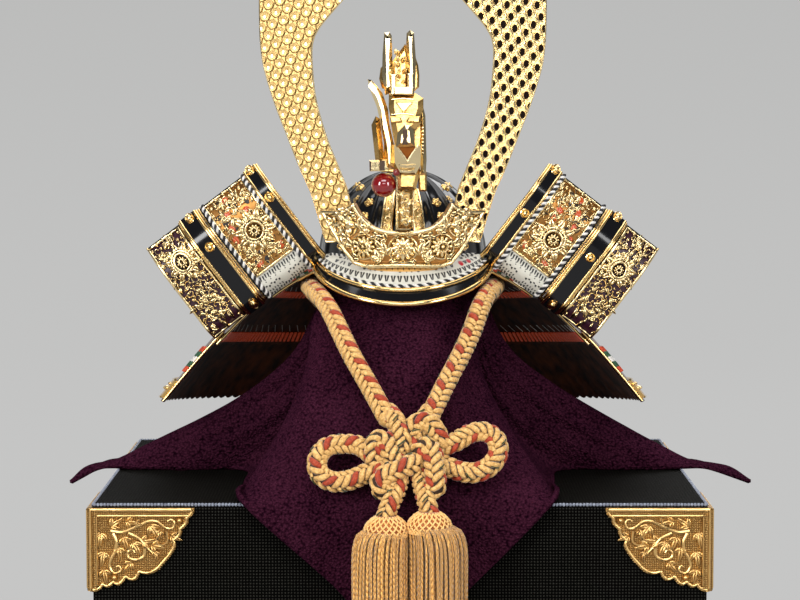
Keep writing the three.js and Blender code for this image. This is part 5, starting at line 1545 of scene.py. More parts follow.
# Both horns are one gilt metal, and their two materials are lit and shaded copies. The right one has dark
# openings as painted shade and bright rims as painted highlights. The left one has pale openings as painted
# reflections, and dark rims and dimmer scales as painted shade.
scales_painted_dark_openings = scale_material("horn_scales_right", (0.008, 0.005, 0.004), (1.0, 0.82, 0.48))
scales_painted_pale_openings = scale_material("horn_scales_left", (0.95, 0.9, 0.74), (0.3, 0.17, 0.05), 0.5, 0.72, 0.42)


def spline(points, steps):
    """A curve through points with evenly weighted knots and doubled ends."""
    points = np.asarray(points, float)
    padded = np.vstack([points[:1], points, points[-1:]])
    rows = [points[:1]]
    for k in range(len(points) - 1):
        p0, p1, p2, p3 = padded[k:k + 4]
        t = np.linspace(0, 1, steps + 1)[1:, None]
        m1, m2 = (p2 - p0) / 2, (p3 - p1) / 2
        rows.append((2 * t**3 - 3 * t**2 + 1) * p1 + (t**3 - 2 * t**2 + t) * m1
                    + (3 * t**2 - 2 * t**3) * p2 + (t**3 - t**2) * m2)
    return np.vstack(rows)


def horn(side):
    size = np.array([HORN["half_span"], HORN["height"]])
    inner, outer, scoop = (np.array(rows) * size for rows in (HORN_INNER, HORN_OUTER, HORN_SCOOP))
    steps = 6
    outline = np.vstack([
        spline(inner, steps), spline(np.vstack([inner[-1:], scoop[:5]]), steps)[1:],
        spline(np.vstack([scoop[4:6], outer]), steps)[1:],
    ])
    root_x, yaw = HORN["root"] * HORN["half_span"], HORN["yaw"] * DEGREES
    low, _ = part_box(f"kuwagata_{side}")
    # The back lower edge of the plate rests where the solid's does.
    shift = [0.0]
    way = 1 if side == "right" else -1

    def place(a, b, h):
        a, b, h = np.broadcast_arrays(a, b, h)
        x, y = a - root_x, -h
        turned_x = root_x + x * math.cos(yaw) - y * math.sin(yaw)
        turned_y = x * math.sin(yaw) + y * math.cos(yaw)
        return np.stack([way * turned_x, turned_y + shift[0], HORN_ROOT + b], -1)

    front = place(outline[:, 0], outline[:, 1], np.full(len(outline), HORN["thickness"]))
    shift[0] = low[1] / MM - HELMET[1] - front[:, 1].min()
    soup = Soup()
    flat, triangles = filled(outline, 4.0)
    # The lattice leans the same way on both horns when it is seen from the front.
    for h, turned in ((HORN["thickness"], False), (0.0, True)):
        points = place(flat[:, 0], flat[:, 1], np.full(len(flat), h))
        lattice = np.stack([points[:, 0] * way, points[:, 2]], 1)
        soup.add(points, triangles[:, ::-1] if turned else triangles, 0, lattice)
    closed = np.vstack([outline, outline[:1]])
    walls = np.stack([place(closed[:, 0], closed[:, 1], h) for h in (HORN["thickness"], 0)])
    soup.grid(walls, 1)
    sweep(soup, place(closed[:, 0], closed[:, 1], np.full(len(closed), HORN["thickness"] - 0.2)), 0.32, 6, 1,
          caps=False)
    face = scales_painted_dark_openings if side == "right" else scales_painted_pale_openings
    piece = soup.build(f"scaled_horn_{side}", [face, bright_gold], HELMET, sharp=50, uv=True)
    return finished(piece, [f"kuwagata_{side}"])


horn("left")
horn("right")

# The dragon and its jewel. Each plate has an outline across and up, and a front and a back in front of
# the bowl's axis, in millimetres. A ridged plate is folded along its middle.

NECK_LEAN = 0.06
NECK_MIDDLE = 114.9
DRAGON_PLATES = [
    {"name": "right cheek", "front": 51, "back": 46, "slot": 1, "outline": [
        (3.2, 117.4), (7, 117.4), (7, 131), (3.2, 131),
    ]},
    {"name": "neck", "front": 47.6, "back": 43.4, "lean": (0, NECK_LEAN), "slot": 1, "outline": [
        (-2.4, 92.3), (4, 92.3), (4.2, 112), (4, 140.5), (-3, 140.5), (-2.4, 112),
    ]},
    {"name": "throat", "front": 53, "back": 44, "slot": 1, "outline": [
        (-2.6, 115.8), (6.1, 115.8), (5.8, 111.5), (4.4, 106.2), (-1.8, 106.2), (-1.8, 112.4),
    ]},
    {"name": "right lumps", "front": 52, "back": 46, "slot": 1, "outline": [
        (5.2, 113.4), (8.3, 112.6), (8.4, 105.7), (5.6, 105.7),
    ]},
    {"name": "forehead", "front": 54, "back": 44, "slot": 1, "outline": [
        (-4.9, 139.9), (4.3, 140), (7.2, 138.1), (7.1, 134.4), (6.3, 131.7), (6.5, 129.6), (4.3, 127.4),
        (3.9, 121.6), (-2.8, 121.6), (-4.2, 129.2), (-4.4, 132), (-5, 134.9),
    ]},
    {"name": "nose bridge", "front": 55, "back": 52, "fold": 0.5, "outline": [
        (-2.6, 136.9), (3.6, 136.9), (0.3, 133.2),
    ]},
    {"name": "left eye", "front": 55.4, "back": 52, "slot": 1, "outline": [
        (-4.6, 132), (-0.9, 131.7), (-0.2, 130), (-4.2, 129.6),
    ]},
    {"name": "right eye", "front": 55.4, "back": 52, "slot": 1, "outline": [
        (1.1, 130), (2.1, 131.7), (6, 132), (5.8, 129.6),
    ]},
    {"name": "snout", "front": 59, "back": 50, "fold": 0.9, "outline": [
        (-0.7, 127.6), (0.7, 129.1), (2.4, 128.8), (3.7, 127.2), (4.2, 121.6), (-2.4, 121.2),
        (-1.9, 126.2),
    ]},
    {"name": "jaw", "front": 57, "back": 49, "fold": 0.3, "lean": (0.05, -0.06), "outline": [
        (-3.1, 122.1), (-1.9, 121.4), (1.5, 116.3), (4.8, 121.3), (6.4, 122.2), (6.1, 114.8),
        (4.4, 111.9), (-0.9, 112.3), (-2.8, 115.8),
    ]},
    {"name": "left horn", "front": 50.5, "back": 46.5, "fold": 1.5, "outline": [
        (-6.5, 161), (-4.7, 161.3), (-3.9, 160), (-3.5, 146.8), (-3.3, 140.6), (-6.1, 139.2),
        (-7.3, 146.3), (-7.1, 153.5),
    ]},
    {"name": "right horn", "front": 50.5, "back": 46.5, "fold": 1.5, "outline": [
        (1.3, 160.8), (2.5, 162), (3.9, 161), (4.6, 151.1), (4.3, 141), (1.8, 141), (1.1, 155.4),
    ]},
    {"name": "mane", "front": 49.6, "back": 46, "slot": 1, "outline": [
        (-3.9, 150.7), (-0.9, 154.8), (0.8, 157.2), (2, 153.9), (2, 141.4), (-3.9, 140),
    ]},
    {"name": "left mane", "front": 48.6, "back": 45.6, "fold": 1.2, "slot": 1, "outline": [
        (-7.8, 148.7), (-6.8, 149.7), (-5.6, 141.3), (-7.3, 141.6), (-8.3, 144.9),
    ]},
    {"name": "right mane", "front": 48.6, "back": 45.6, "fold": 1.2, "slot": 1, "outline": [
        (4, 153.9), (5.4, 149.7), (5.8, 146.3), (5.7, 142), (3.7, 140.3),
    ]},
    {"name": "left frame", "front": 53, "back": 49, "outline": [
        (-4.3, 146.5), (-2.3, 146.5), (-2.3, 139.6), (-4.3, 139),
    ]},
    {"name": "right frame", "front": 53, "back": 49, "outline": [
        (1.6, 146.8), (3.7, 146.8), (4, 139.4), (1.7, 139.1),
    ]},
    {"name": "brow bar", "front": 55, "back": 49, "fold": 0.5, "outline": [
        (-3.3, 142.1), (3.7, 142.1), (3.7, 139.4), (-3.3, 139.4),
    ]},
    {"name": "left blade", "front": 51.6, "back": 48, "fold": 1.5, "outline": [
        (-12.4, 144.8), (-11, 144.6), (-7.2, 140.1), (-5.2, 134.4), (-4.7, 129.2), (-3.2, 122.5),
        (-2.4, 113.4), (-5, 113.1), (-6.8, 113.4), (-6.6, 122.5), (-9, 134.9), (-11.3, 140.6),
    ]},
    {"name": "left prong", "front": 53, "back": 50, "fold": 1.2, "slot": 1, "outline": [
        (-11, 128.9), (-9.5, 132), (-8, 131), (-6.5, 117.7), (-5.4, 115.4), (-9.5, 115.4),
        (-10.3, 122.5),
    ]},
    {"name": "collar", "front": 54.4, "back": 48.6, "fold": 0.5, "lean": (0.2, 0.3), "outline": [
        (-11.7, 116.6), (-5.4, 117), (-4.8, 113.6), (-7.1, 112.8), (-11.6, 112.8),
    ]},
    {"name": "right fin", "front": 52, "back": 47.6, "fold": 1.1, "outline": [
        (6.1, 138.1), (7.2, 138.4), (7.2, 134.9), (7.9, 132), (8.3, 116.7), (8, 111.7), (6.2, 111.5),
        (6.1, 117.7), (5.4, 118.7), (6.2, 125.8), (6, 132),
    ]},
    # The slot, the grooves and the edge below are plates coloured near black, and the mouth a dark gold:
    # painted shade.
    {"name": "snout slot", "front": 59.6, "back": 58.4, "fold": 0.2, "slot": 2, "outline": [
        (0, 127.4), (1.6, 127.6), (1.7, 124.8), (1.3, 124.2), (1.9, 122.2), (-0.4, 122.2), (0.2, 124.4),
        (-0.1, 125.4),
    ]},
    {"name": "collar groove", "front": 55.6, "back": 53, "fold": 0.2, "slot": 2, "outline": [
        (-8, 116.5), (-6.3, 116.6), (-6.3, 113.2), (-8, 113.1),
    ]},
    {"name": "collar edge", "front": 55.6, "back": 53, "fold": 0.2, "slot": 2, "outline": [
        (-11.6, 116.2), (-11, 116.3), (-11, 113.1), (-11.6, 113.1),
    ]},
    {"name": "mouth", "front": 57.5, "back": 56.6, "fold": 0.15, "slot": 3, "outline": [
        (-1.6, 121.4), (4.5, 121.4), (1.5, 117.2),
    ]},
]


def inset_loop(outline, share):
    """An outline drawn in by a share of its half width."""
    closed = np.vstack([outline[-1:], outline, outline[:1]])
    x, y = outline.T
    area = 0.5 * np.sum(x * np.roll(y, -1) - np.roll(x, -1) * y)
    length = np.linalg.norm(np.diff(closed[1:], axis=0), axis=1).sum()
    amount = share * abs(area) / length * (1 if area > 0 else -1)
    result = []
    for before, here, after in zip(closed[:-2], closed[1:-1], closed[2:]):
        first, second = unit(here - before), unit(after - here)
        bisector = np.array([-first[1] - second[1], first[0] + second[0]])
        scale = max(1 + first @ second, 0.45)
        result.append(here + bisector / scale * amount)
    return np.array(result), abs(amount)


def faceted(soup, row):
    outline = np.array(row["outline"], float)
    inner, amount = inset_loop(outline, row.get("fold", 0.6))
    loops = []
    # The front leans a little, so that each plate catches the light in its own way.
    lean_x, lean_z = row.get("lean", (0, 0.1))
    middle = outline.mean(0)
    for loop, depth, tilt in (
        (outline, row["back"], 0), (outline, row["front"] - amount * 0.9, 1), (inner, row["front"], 1),
    ):
        away = tilt * ((loop[:, 0] - middle[0]) * lean_x + (loop[:, 1] - middle[1]) * lean_z)
        loops.append(np.stack([loop[:, 0], away - depth, loop[:, 1]], 1))
    slot = row.get("slot", 0)
    soup.grid(np.array(loops), slot, wrap=True)
    n = len(outline)
    edges = [(k, (k + 1) % n) for k in range(n)]
    for loop, flat in ((loops[2], inner), (loops[0], outline)):
        made = delaunay_2d_cdt([Vector(p) for p in flat], edges, [list(range(n))], 1, 1e-6)
        if len(made[0]) == n:
            soup.add(loop, np.array([f for f in made[2] if len(f) == 3]), slot)


def facing(depth, lean=0.0):
    """A place function on a face of the dragon at a depth in front of the bowl's axis."""

    def place(a, b, h):
        a, b, h = np.broadcast_arrays(a, b, h)
        return np.stack([a, -depth - h + lean * (b - NECK_MIDDLE), b], -1)

    return place


def dragon():
    soup = Soup()
    for row in DRAGON_PLATES:
        faceted(soup, row)
    # The stem hooks over the notch of the crest base and is chased with scrolls between ridges.
    back = CREST["stand"] - GAP - 2.2
    bar(soup, (0, -47.5, 95.6), (0, -back, 95.6), 5, 7, 0, (0, 0, 1))
    bar(soup, (0, -back - 1.1, 99), (0, -back - 1.1, 83), 5, 2.2, 0, (0, -1, 0))

    neck, mane, muzzle = facing(47.75, NECK_LEAN), facing(49.7), facing(57.1)
    for x in (-2, 3.7):
        vine(soup, neck, [(x, 92.6), (x, 112)], 0.4, 0.1, 0, thin=1, step=2)
    for k in range(6):
        way = 1 if k % 2 else -1
        vine(soup, neck, curl(0, 0, 1.7, 0.4, 0.95, 16) * (way, 1) + (0.9, 94.4 + 3.1 * k), 0.4, 0.1, 0)
        for lean in (-50, 0, 50):
            at, turn = (0.9 - way, 95.2 + 3.1 * k), (90 + lean + 40 * way) * DEGREES
            leaf_pad(soup, neck, at, turn, 2.2, 0.6, 0.7, 0.1, 0)
    # A claw grips the jewel. Beside it hangs a small red stone.
    ball(soup, (-2.2, -53.8, 112.4), 1.3, 4, 16, 10)
    vine(soup, lambda a, b, h: neck(a, b, h) - (0, 3.6, 0), curl(-6.7, 107.9, 4.6, 0.9, 0.36, 20), 0.55, 0, 0)
    # Scales and beads up the throat and the mane.
    mane_scales = [(0.9, 142.6), (0.4, 144.6), (1.3, 146.4), (0.2, 148.4), (0.9, 150.4), (0.2, 152.4)]
    for k, (x, z) in enumerate(mane_scales):
        leaf_pad(soup, mane, (x - 1.4, z), (60 + 50 * (k % 2)) * DEGREES, 2.9, 0.9, 0.9, 0, 1)
        leaf_pad(soup, mane, (x - 2.4, z + 0.6), 100 * DEGREES, 2.6, 0.7, 0.8, 0, 0)
    # Lips along the open mouth and folds of skin under it.
    for x in (-2.5, 5.4):
        vine(soup, muzzle, [(x, 121.9), (1.5, 116.0)], 0.55, 0.1, 0, thin=1, step=1)
    for k, z in enumerate((115.0, 113.9, 112.9)):
        fold = [(-1.4 + 0.3 * k, z), (1.5, z - 0.35), (4.4 - 0.3 * k, z)]
        vine(soup, muzzle, fold, 0.42, 0, k % 2, thin=1, step=1)
    for x in np.linspace(-3.6, 3.4, 12):
        ball(soup, (x, -54.3 + 0.02 * x * x, 133.0 - 0.12 * abs(x)), 0.34, 0, 8, 5)
        ball(soup, (x, -54.3, 138.2 - 0.1 * abs(x)), 0.3, 0, 8, 5)
    for z in np.linspace(118, 128, 9):
        ball(soup, (6.9, -52.2, z), 0.36, 0, 8, 5)
    materials = [dragon_gold, relief_gold, dragon_groove_shade, mouth_shade_gold, jewel_red]
    piece = soup.build("gilt_dragon", materials, HELMET, sharp=25)
    return finished(piece, ["dragon_crest"])


dragon()
soup = Soup()
ball(soup, (-6.7, -50, 107.9), 4.35, 0, 40, 28)
finished(soup.build("red_glass_jewel", [jewel_red], HELMET), ["dragon_jewel"])

# The turned-out wings. Each has two banded panels, a carved upper relief and a pierced lower one.

WING = {
    "length": 51.0, "breadth": 38.6, "slope": 37.3, "inner_out": 52.0, "inner_up": 113.5, "stand": 25.0,
    "sweep": 0.05, "curl_back": 7.0, "curl_share": 0.34, "foot_back": 3.6, "foot_share": 0.1, "split": 27.6,
    "thickness": 1.4, "upper_end": 27.3,
}
WING_FLOWERS = {
    "left": {"upper": (14.7, 17.3), "lower": (42.6, 11.2)},
    "right": {"upper": (17.4, 19.6), "lower": (43.0, 14.0)},
}
WING_STUDS = {
    "left": [(3.4, 0.8), (3.2, 11.4), (31.4, 1.4), (31.4, 12.5), (31.4, 36.5)],
    "right": [(3.2, 0.6), (3.6, 18.1), (31.6, 0.6), (32.2, 16.5), (31.8, 36.8)],
}
WING_ORANGE = [
    {"at": (15.6, 3.4), "turn": 10}, {"at": (11.4, 9.6), "turn": 20}, {"at": (20.6, 10.6), "turn": 80},
    {"at": (22.2, 14.6), "turn": 85}, {"at": (9.4, 25.6), "turn": 60}, {"at": (17.6, 6.6), "turn": 30},
    {"at": (11.0, 12.4), "turn": 20}, {"at": (19.0, 27.6), "turn": 20},
]


WING_PANELS = {
    "upper": {"low": 0.0, "high": WING["upper_end"], "band": (1.5, 5.2), "cords": (7.0, 25.3)},
    "lower": {"low": WING["split"], "high": WING["length"], "band": (29.1, 34.7), "cords": ()},
}
WING_RELIEFS = {
    "upper": {"low": 7.7, "high": 24.7, "top": 1.4, "bottom": 31.0, "seed": 5, "pitch": 4.1, "flower": 5.0,
              "leaves": 110, "piece": "wing_upper_relief"},
    "lower": {"low": 37.0, "high": 50.4, "top": 1.4, "bottom": 37.4, "seed": 9, "pitch": 3.4, "flower": 4.1,
              "leaves": 84, "piece": "wing_lower_openwork"},
}


def wing_surface(along, across):
    slope = WING["slope"] * DEGREES
    share = across / WING["breadth"]
    back = WING["curl_back"] * np.clip(1 - share / WING["curl_share"], 0, None) ** 2
    foot = WING["foot_back"] * np.clip((share - 1 + WING["foot_share"]) / WING["foot_share"], 0, None) ** 1.5
    return np.stack(np.broadcast_arrays(
        WING["inner_out"] + along * np.cos(slope) - across * np.sin(slope),
        -WING["stand"] + WING["sweep"] * along + back + foot,
        WING["inner_up"] - along * np.sin(slope) - across * np.cos(slope),
    ), -1)


def wing_place(side):
    way = 1 if side == "right" else -1

    def place(a, b, h):
        a, b, h = (np.asarray(v, float) for v in np.broadcast_arrays(a, b, h))
        point = wing_surface(a, b)
        right = wing_surface(a + 0.01, b) - wing_surface(a - 0.01, b)
        down = wing_surface(a, b + 0.01) - wing_surface(a, b - 0.01)
        normal = unit(np.cross(right, -down))
        return (point + normal * h[..., None]) * (way, 1, 1)

    return place


def edge_lines(soup, place, columns, radius, lift, slot, low=0.2, high=None):
    """Polished wires that run across a wing from its upper edge to its fold."""
    across = np.linspace(low, high or WING["breadth"] - 0.3, 46)
    for a in columns:
        sweep(soup, place(np.full(46, a), across, np.full(46, lift)), radius, 8, slot)


def wing_panel(side, name):
    """A black lacquered panel with a gold-edged band, its nails and twisted cords."""
    panel = WING_PANELS[name]
    low, high, band = panel["low"], panel["high"], panel["band"]
    place = wing_place(side)
    thick = WING["thickness"]
    soup = Soup()
    us, vs = np.linspace(low, high, 14), np.linspace(0, WING["breadth"], 48)
    slab_grid(soup, place, us, vs, 0.0, thick)
    # The band stands a little higher than the panel, between two pairs of wires.
    slab_grid(soup, place, np.linspace(band[0], band[1], 5), vs, thick, thick + 1.1)
    edge_lines(soup, place, (band[0] - 0.35, band[1] + 0.35), 0.55, thick + 1.0, 1)
    edge_lines(soup, place, (band[0] - 1.15, band[1] + 1.15), 0.45, thick + 0.5, 1)
    edge_lines(soup, place, (low + 0.25, high - 0.25), 0.35, thick + 0.2, 1)
    for at in WING_STUDS[side]:
        if low < at[0] < high:
            stud(soup, place, at, 1.55, 1.5, thick + 1.1, 1)
            ring_wire(soup, place, at, 1.5, thick + 1.25, 0.28, 22, slot=1)
    for a in panel["cords"]:
        across = np.linspace(0.3, WING["breadth"] - 0.4, 90)
        rope(soup, place(np.full(90, a), across, np.full(90, thick + 0.9)), 0.95, 2.6, (2, 3), 6)
    if name == "upper":
        # Printed leather shows below the relief.
        leather = (31.2, WING["breadth"] - 0.2)
        lift = thick + 0.55
        slab_grid(soup, place, np.linspace(7.6, 24.6, 12), np.linspace(*leather, 16), thick, lift, 4)
        for k, a in enumerate(np.linspace(8.6, 23.8, 15)):
            for start, length, lean in ((31.9, 1.7, 0.35), (35.1, 1.9, -0.1), (37.4, 0.8, 0.3)):
                if start > 35 and length > 1 and k in (6, 7, 8):
                    continue
                b = start + 0.25 * (k % 2)
                bar(soup, place(a, b, lift + 0.04), place(a + lean, b + length, lift + 0.04), 0.7, 0.12, 5,
                    (0, -1, 0), 0.34, 0.12)
            for b in (34.0, 34.7):
                if k % 2:
                    ball(soup, place(a + 0.4 * (b - 34), b, lift), (0.24, 0.1, 0.24), 5, 6, 4)
    materials = [black_lacquer, edge_gold, edging_white, edging_black, printed_leather, leather_ink]
    piece = soup.build(f"banded_wing_{name}_{side}", materials, HELMET, sharp=50)
    return finished(piece, [f"wing_{name}_{side}"])


def petals(soup, place, at, reach, count, rise, lift, slot, start=0.0, root=0.42, wide=0.22):
    """A ring of grooved petals round a flower's middle."""
    for k in range(count):
        turn = start + 2 * np.pi * k / count
        foot = np.array(at) + reach * root * np.array([math.cos(turn), math.sin(turn)])
        leaf_pad(soup, place, foot, turn, reach * (1 - root), reach * wide, rise, lift, slot)


def peony(soup, place, at, radius, lift, rise):
    """The large open flower: pointed petals round a disc with two rings."""
    petals(soup, place, at, radius * 1.6, 10, rise * 1.3, lift, 0, 0.2, 0.46, 0.2)
    petals(soup, place, at, radius * 1.2, 10, rise * 1.2, lift + rise * 0.5, 0, 0.5, 0.5, 0.2)
    bloom(soup, place, at, radius * 0.5, rise * 1.2, lift + rise * 0.9, 0, 10, 80, 12)
    for share, wire, up in ((0.88, 0.42, 1.0), (0.66, 0.5, 1.3), (0.2, 0.3, 2.2)):
        ring_wire(soup, place, at, radius * share, lift + rise * up, wire, 34, 7)


def wing_relief(side, name):
    place = wing_place(side)
    under = WING["thickness"] + GAP
    soup = Soup()
    relief = WING_RELIEFS[name]
    low, high, top, bottom = (relief[key] for key in ("low", "high", "top", "bottom"))
    seed, radius = relief["seed"], relief["flower"]
    ground = (np.linspace(low, high, 12), np.linspace(top, bottom, 30))
    if name == "upper":
        slab_grid(soup, place, *ground, under, under + 0.35, 1)
        draws = np.random.default_rng(3)
        # Dark leaf-shaped patches on the ground: painted shade in the relief's recesses.
        for _ in range(26):
            at = (draws.uniform(low + 1.5, high - 1.5), draws.uniform(top + 1.5, bottom - 2))
            leaf_pad(soup, place, at, draws.uniform(0, 6.28), 3.0, 0.9, 0.25, under + 0.32, 2)
        for row in WING_ORANGE:
            leaf_pad(soup, place, row["at"], row["turn"] * DEGREES, 3.4, 1.1, 0.5, under + 0.5, 4)
    else:
        slab_grid(soup, place, *ground, under - 0.1, under + 0.1, 3)
    corners = [(low, top), (high, top), (high, bottom), (low, bottom), (low, top)]
    vine(soup, place, corners, 0.5, under + 0.6, 0, thin=1, step=0.8)
    at = WING_FLOWERS[side][name]
    peony(soup, place, at, radius, under + 0.5, 1.0)
    avoid = [(*at, radius * 1.15)]
    within = [
        (low + 0.3, top + 0.3), (high - 0.3, top + 0.3), (high - 0.3, bottom - 0.3),
        (low + 0.3, bottom - 0.3),
    ]
    scrolls(soup, place, within, relief["pitch"], 0.8, under + 0.55, 0, seed, avoid, 0.36)
    # Smaller leaves bridge the gaps between the scrolls, a little deeper.
    draws = np.random.default_rng(seed + 1)
    for _ in range(relief["leaves"]):
        a, b = draws.uniform(low + 1, high - 1), draws.uniform(top + 1, bottom - 1)
        if math.hypot(a - at[0], b - at[1]) < radius * 1.3:
            continue
        turn, length = draws.uniform(0, 6.28), draws.uniform(2.2, 3.8)
        width, rise = draws.uniform(0.5, 0.9), draws.uniform(0.7, 1.3)
        leaf_pad(soup, place, (a, b), turn, length, width, rise, under + 0.3, 0)
    # Beads along the edges.
    for b in np.arange(top + 1.2, bottom - 0.5, 2.1):
        for a in (low + 0.9, high - 0.9):
            stud(soup, place, (a, b), 0.5, 0.7, under + 0.5, 0, 8)
    materials = [bright_gold, ground_gold, painted_recess_shade, dark_purple, enamel_red]
    piece = soup.build(f"carved_{relief['piece']}_{side}", materials, HELMET, sharp=60)
    return finished(piece, [f"{relief['piece']}_{side}"])


for side in ("left", "right"):
    for name in ("upper", "lower"):
        wing_panel(side, name)
    for name in ("upper", "lower"):
        wing_relief(side, name)

# The neck guard: red lacquered lames with lacing, gold ends and a serrated lower edge

GUARD = {"bottom": 89.0, "height": 49.5, "curve": 1.35, "tilt": 0.095, "lames": 3, "seat": 2.0, "front": 20.8}
GUARD_TOP = BOWL["half_depth"] + RIBS["rise"] + 2 * GAP
LAME = {"thickness": 1.0, "lap": 2.6, "lift": 2.5, "plate": 3.6}


def guard_point(turn, reach):
    span = GUARD["bottom"] - GUARD_TOP
    share = np.clip((reach - GUARD_TOP) / span, 0, None)
    height = BOWL["rim"] - BOWL["skirt"] + GUARD["seat"] - GUARD["height"] * share ** GUARD["curve"]
    sweep_back = WING["sweep"] * (reach - GUARD_TOP) / math.cos(WING["slope"] * DEGREES)
    front = np.arcsin(np.clip((GUARD["front"] - sweep_back) / reach, -1, 1))
    angle = (turn * 2 - 1) * (np.pi / 2 + front)
    y = reach * np.cos(angle)
    inward = np.clip((GUARD["bottom"] - reach) / span, 0, None)
    x = (reach - (BOWL["half_depth"] - BOWL["half_width"]) * inward) * np.sin(angle)
    return np.stack(np.broadcast_arrays(x, y, height - GUARD["tilt"] * (y + GUARD["front"])), -1)


def lame_place(index):
    pitch = (GUARD["bottom"] - GUARD_TOP) / GUARD["lames"]
    low = GUARD_TOP + pitch * index - (LAME["lap"] if index else 0)
    high = GUARD_TOP + pitch * (index + 1)

    def surface(turn, v):
        point = guard_point(turn, low + (high - low) * v)
        return point + (LAME["lift"] * (1 - v) if index else 0 * v)[..., None] * np.array([0, 0, 1.0])

    def place(turn, v, h):
        turn, v, h = (np.asarray(q, float) for q in np.broadcast_arrays(turn, v, h))
        point = surface(turn, v)
        right = surface(turn + 1e-3, v) - surface(turn - 1e-3, v)
        down = surface(turn, v + 1e-3) - surface(turn, v - 1e-3)
        normal = unit(np.cross(down, right))
        return point + normal * h[..., None]

    return place, (low + high) / 2


def lame(index):
    place, middle = lame_place(index)
    test = place(0.5, 0.5, 1.0) - place(0.5, 0.5, 0.0)
    up = 1 if test[2] > 0 else -1

    def outward(turn, v, h):
        return place(turn, v, up * h)

    arc = middle * np.pi * 1.15
    plates = int(arc / LAME["plate"])
    soup = Soup()
    columns = plates * 4 + 1
    turn = np.linspace(0, 1, columns)
    wave = np.abs(np.sin(np.pi * plates * turn))
    vs = np.linspace(0, 1, 9)
    u, v = np.meshgrid(turn, vs)
    # The small plates of a lame show as shallow ribs, and their rounded ends serrate its lower edge.
    over = LAME["thickness"] - 0.3 + 0.3 * wave[None] * np.ones_like(v)
    low_v = v * (1 - 0.03 * (1 - wave[None]) * (v > 0.95))
    top, bottom = outward(u, low_v, over), outward(u, low_v, 0 * over)
    soup.grid(top, 0)
    soup.grid(bottom[::-1], 1)
    border_walls(soup, top, bottom, 0)
    # Gold binding on the two front ends. Only the last lame has a wire near its lower edge, at the foot of
    # its band.
    for end in (0.0008, 0.9992):
        line = outward(np.full(30, end), np.linspace(0.02, 0.99, 30), np.full(30, 0.5))
        sweep(soup, line, 0.62, 8, 2)
    # A row of red lacing runs along the inside, with slanted white stitches above it.
    loops = plates * 2 if index < GUARD["lames"] - 1 else 0
    for k in range(loops):
        t = (k + 0.5) / loops
        start, end = outward(t, 0.79, -0.25), outward(t + 0.12 / loops, 0.93, -0.25)
        bar(soup, start, end, arc / loops * 0.62, 0.5, 3, (0, 0, -1), arc / loops * 0.5, 0.4)
    for k in range(plates if loops else 0):
        t = (k + 0.5) / plates
        start, end = outward(t, 0.67, -0.12), outward(t + 0.5 / plates, 0.775, -0.12)
        bar(soup, start, end, 0.2, 0.16, 4, (0, 0, -1))
    # Outside, short braids of three colours hang from lame to lame over a gilt lower band.
    for k in range(plates):
        t = (k + 0.5) / plates
        for v_at, slot in ((0.26, 3), (0.33, 5), (0.4, 4), (0.47, 5), (0.54, 3)):
            start, end = (outward(t, v, LAME["thickness"] + 0.2) for v in (v_at, v_at + 0.065))
            bar(soup, start, end, LAME["plate"] * 0.62, 0.7, slot, (0, 0, 1))
    if index == GUARD["lames"] - 1:
        # The last lame carries a gilt chased band.
        fine = np.linspace(0.001, 0.999, columns)
        thick = LAME["thickness"]
        slab_grid(soup, outward, fine, np.linspace(0.74, 0.97, 5), thick, thick + 1.2, 6)
        for v_at in (0.74, 0.97):
            sweep(soup, outward(fine, np.full(columns, v_at), np.full(columns, thick + 1.1)), 0.5, 5, 2)
        for k in range(plates):
            t = (k + 0.5) / plates
            ball(soup, outward(t, 0.855, thick + 1.2), (1.3, 1.3, 0.7), 2, 7, 5)
            ball(soup, outward(t + 0.5 / plates, 0.8, thick + 1.2), (0.7, 0.7, 0.5), 2, 6, 4)
    materials = [red_lacquer, inner_lacquer, edge_gold, lacing_red_painted_glow, edging_white, lacing_green, relief_gold]
    piece = soup.build(f"laced_lame_{index + 1}", materials, HELMET, sharp=50)
    return finished(piece, [f"shikoro_lame_{index + 1}"])


for index in range(GUARD["lames"]):
    lame(index)

# Studio

STUDIO = {"depth": 1.6, "radius": 0.9, "height": 3.2, "half_width": 6.0}


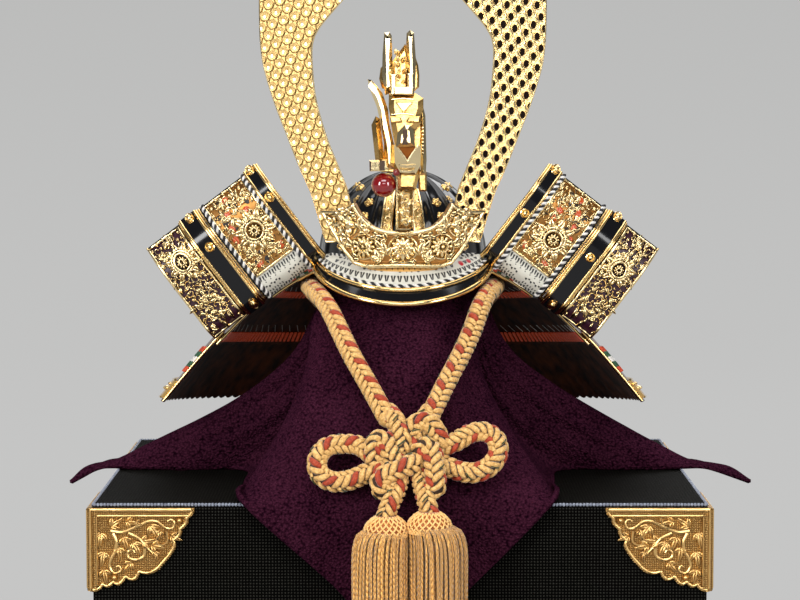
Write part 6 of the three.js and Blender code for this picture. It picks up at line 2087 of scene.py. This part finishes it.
def backdrop_material():
    """A pale wall that glows by its own emission. Its light is painted a little brighter towards the floor.
    """
    nodes = Nodes("pale_floor", (0.03, 0.03, 0.03), 0.95, Specular_IOR_Level=0.0, Emission_Strength=1.0)
    _, _, z = nodes.split(nodes.place())
    cloud = nodes.range(nodes.noise(nodes.place(), 0.6, 2), 0.3, 0.7, -0.04, 0.04)
    level = nodes.math("ADD", nodes.range(z, -0.05, 0.75), cloud)
    tone = nodes.blend(level, (0.535, 0.535, 0.53), (0.45, 0.452, 0.446))
    nodes.link(tone, nodes.shader.inputs["Emission Color"])
    return nodes.material


def backdrop():
    """A pale floor that curves up into a wall."""
    turn = np.linspace(0, np.pi / 2, 16)
    r = STUDIO["radius"]
    profile = [(-4.0, 0.0), *[(STUDIO["depth"] + r * math.sin(a), r - r * math.cos(a)) for a in turn],
               (STUDIO["depth"] + r, STUDIO["height"])]
    w = STUDIO["half_width"]
    points = np.array([[(-w, y, z), (w, y, z)] for y, z in profile]) / MM
    soup = Soup()
    soup.grid(points, 0)
    soup.build("pale_floor", [backdrop_material()])


def area_light(name, place, target, size, power):
    data = bpy.data.lights.new(name, "AREA")
    data.shape = "RECTANGLE"
    data.size, data.size_y = size
    data.energy = power
    light = bpy.data.objects.new(name, data)
    light.location = place
    aim = Vector(target) - Vector(place)
    light.rotation_euler = aim.to_track_quat("-Z", "Y").to_euler()
    bpy.context.scene.collection.objects.link(light)


backdrop()
LOOK = (0, 0, 0.2)
# Each light's place and size in metres and its power in watts
LIGHTS = [
    {"name": "key_left", "place": (-0.95, -1.1, 0.55), "size": (0.35, 0.7), "power": 13},
    {"name": "fill_right", "place": (0.95, -1.1, 0.5), "size": (0.35, 0.7), "power": 8},
    {"name": "front_top", "place": (0, -1.1, 1.2), "size": (1.0, 0.35), "power": 8},
    {"name": "top", "place": (0, 0.1, 1.3), "size": (1.3, 0.7), "power": 9},
    {"name": "front", "place": (0, -1.6, 0.62), "size": (0.8, 0.2), "power": 4},
    {"name": "rim_back", "place": (0.3, 1.2, 0.9), "size": (1.2, 0.5), "power": 5},
]
for row in LIGHTS:
    area_light(row["name"], row["place"], LOOK, row["size"], row["power"])

world = bpy.data.worlds.new("studio")
world.use_nodes = True
background = world.node_tree.nodes["Background"]
background.inputs["Color"].default_value = (0.8, 0.82, 0.86, 1)
background.inputs["Strength"].default_value = 0.16
bpy.context.scene.world = world
bpy.context.scene.view_settings.view_transform = "Standard"
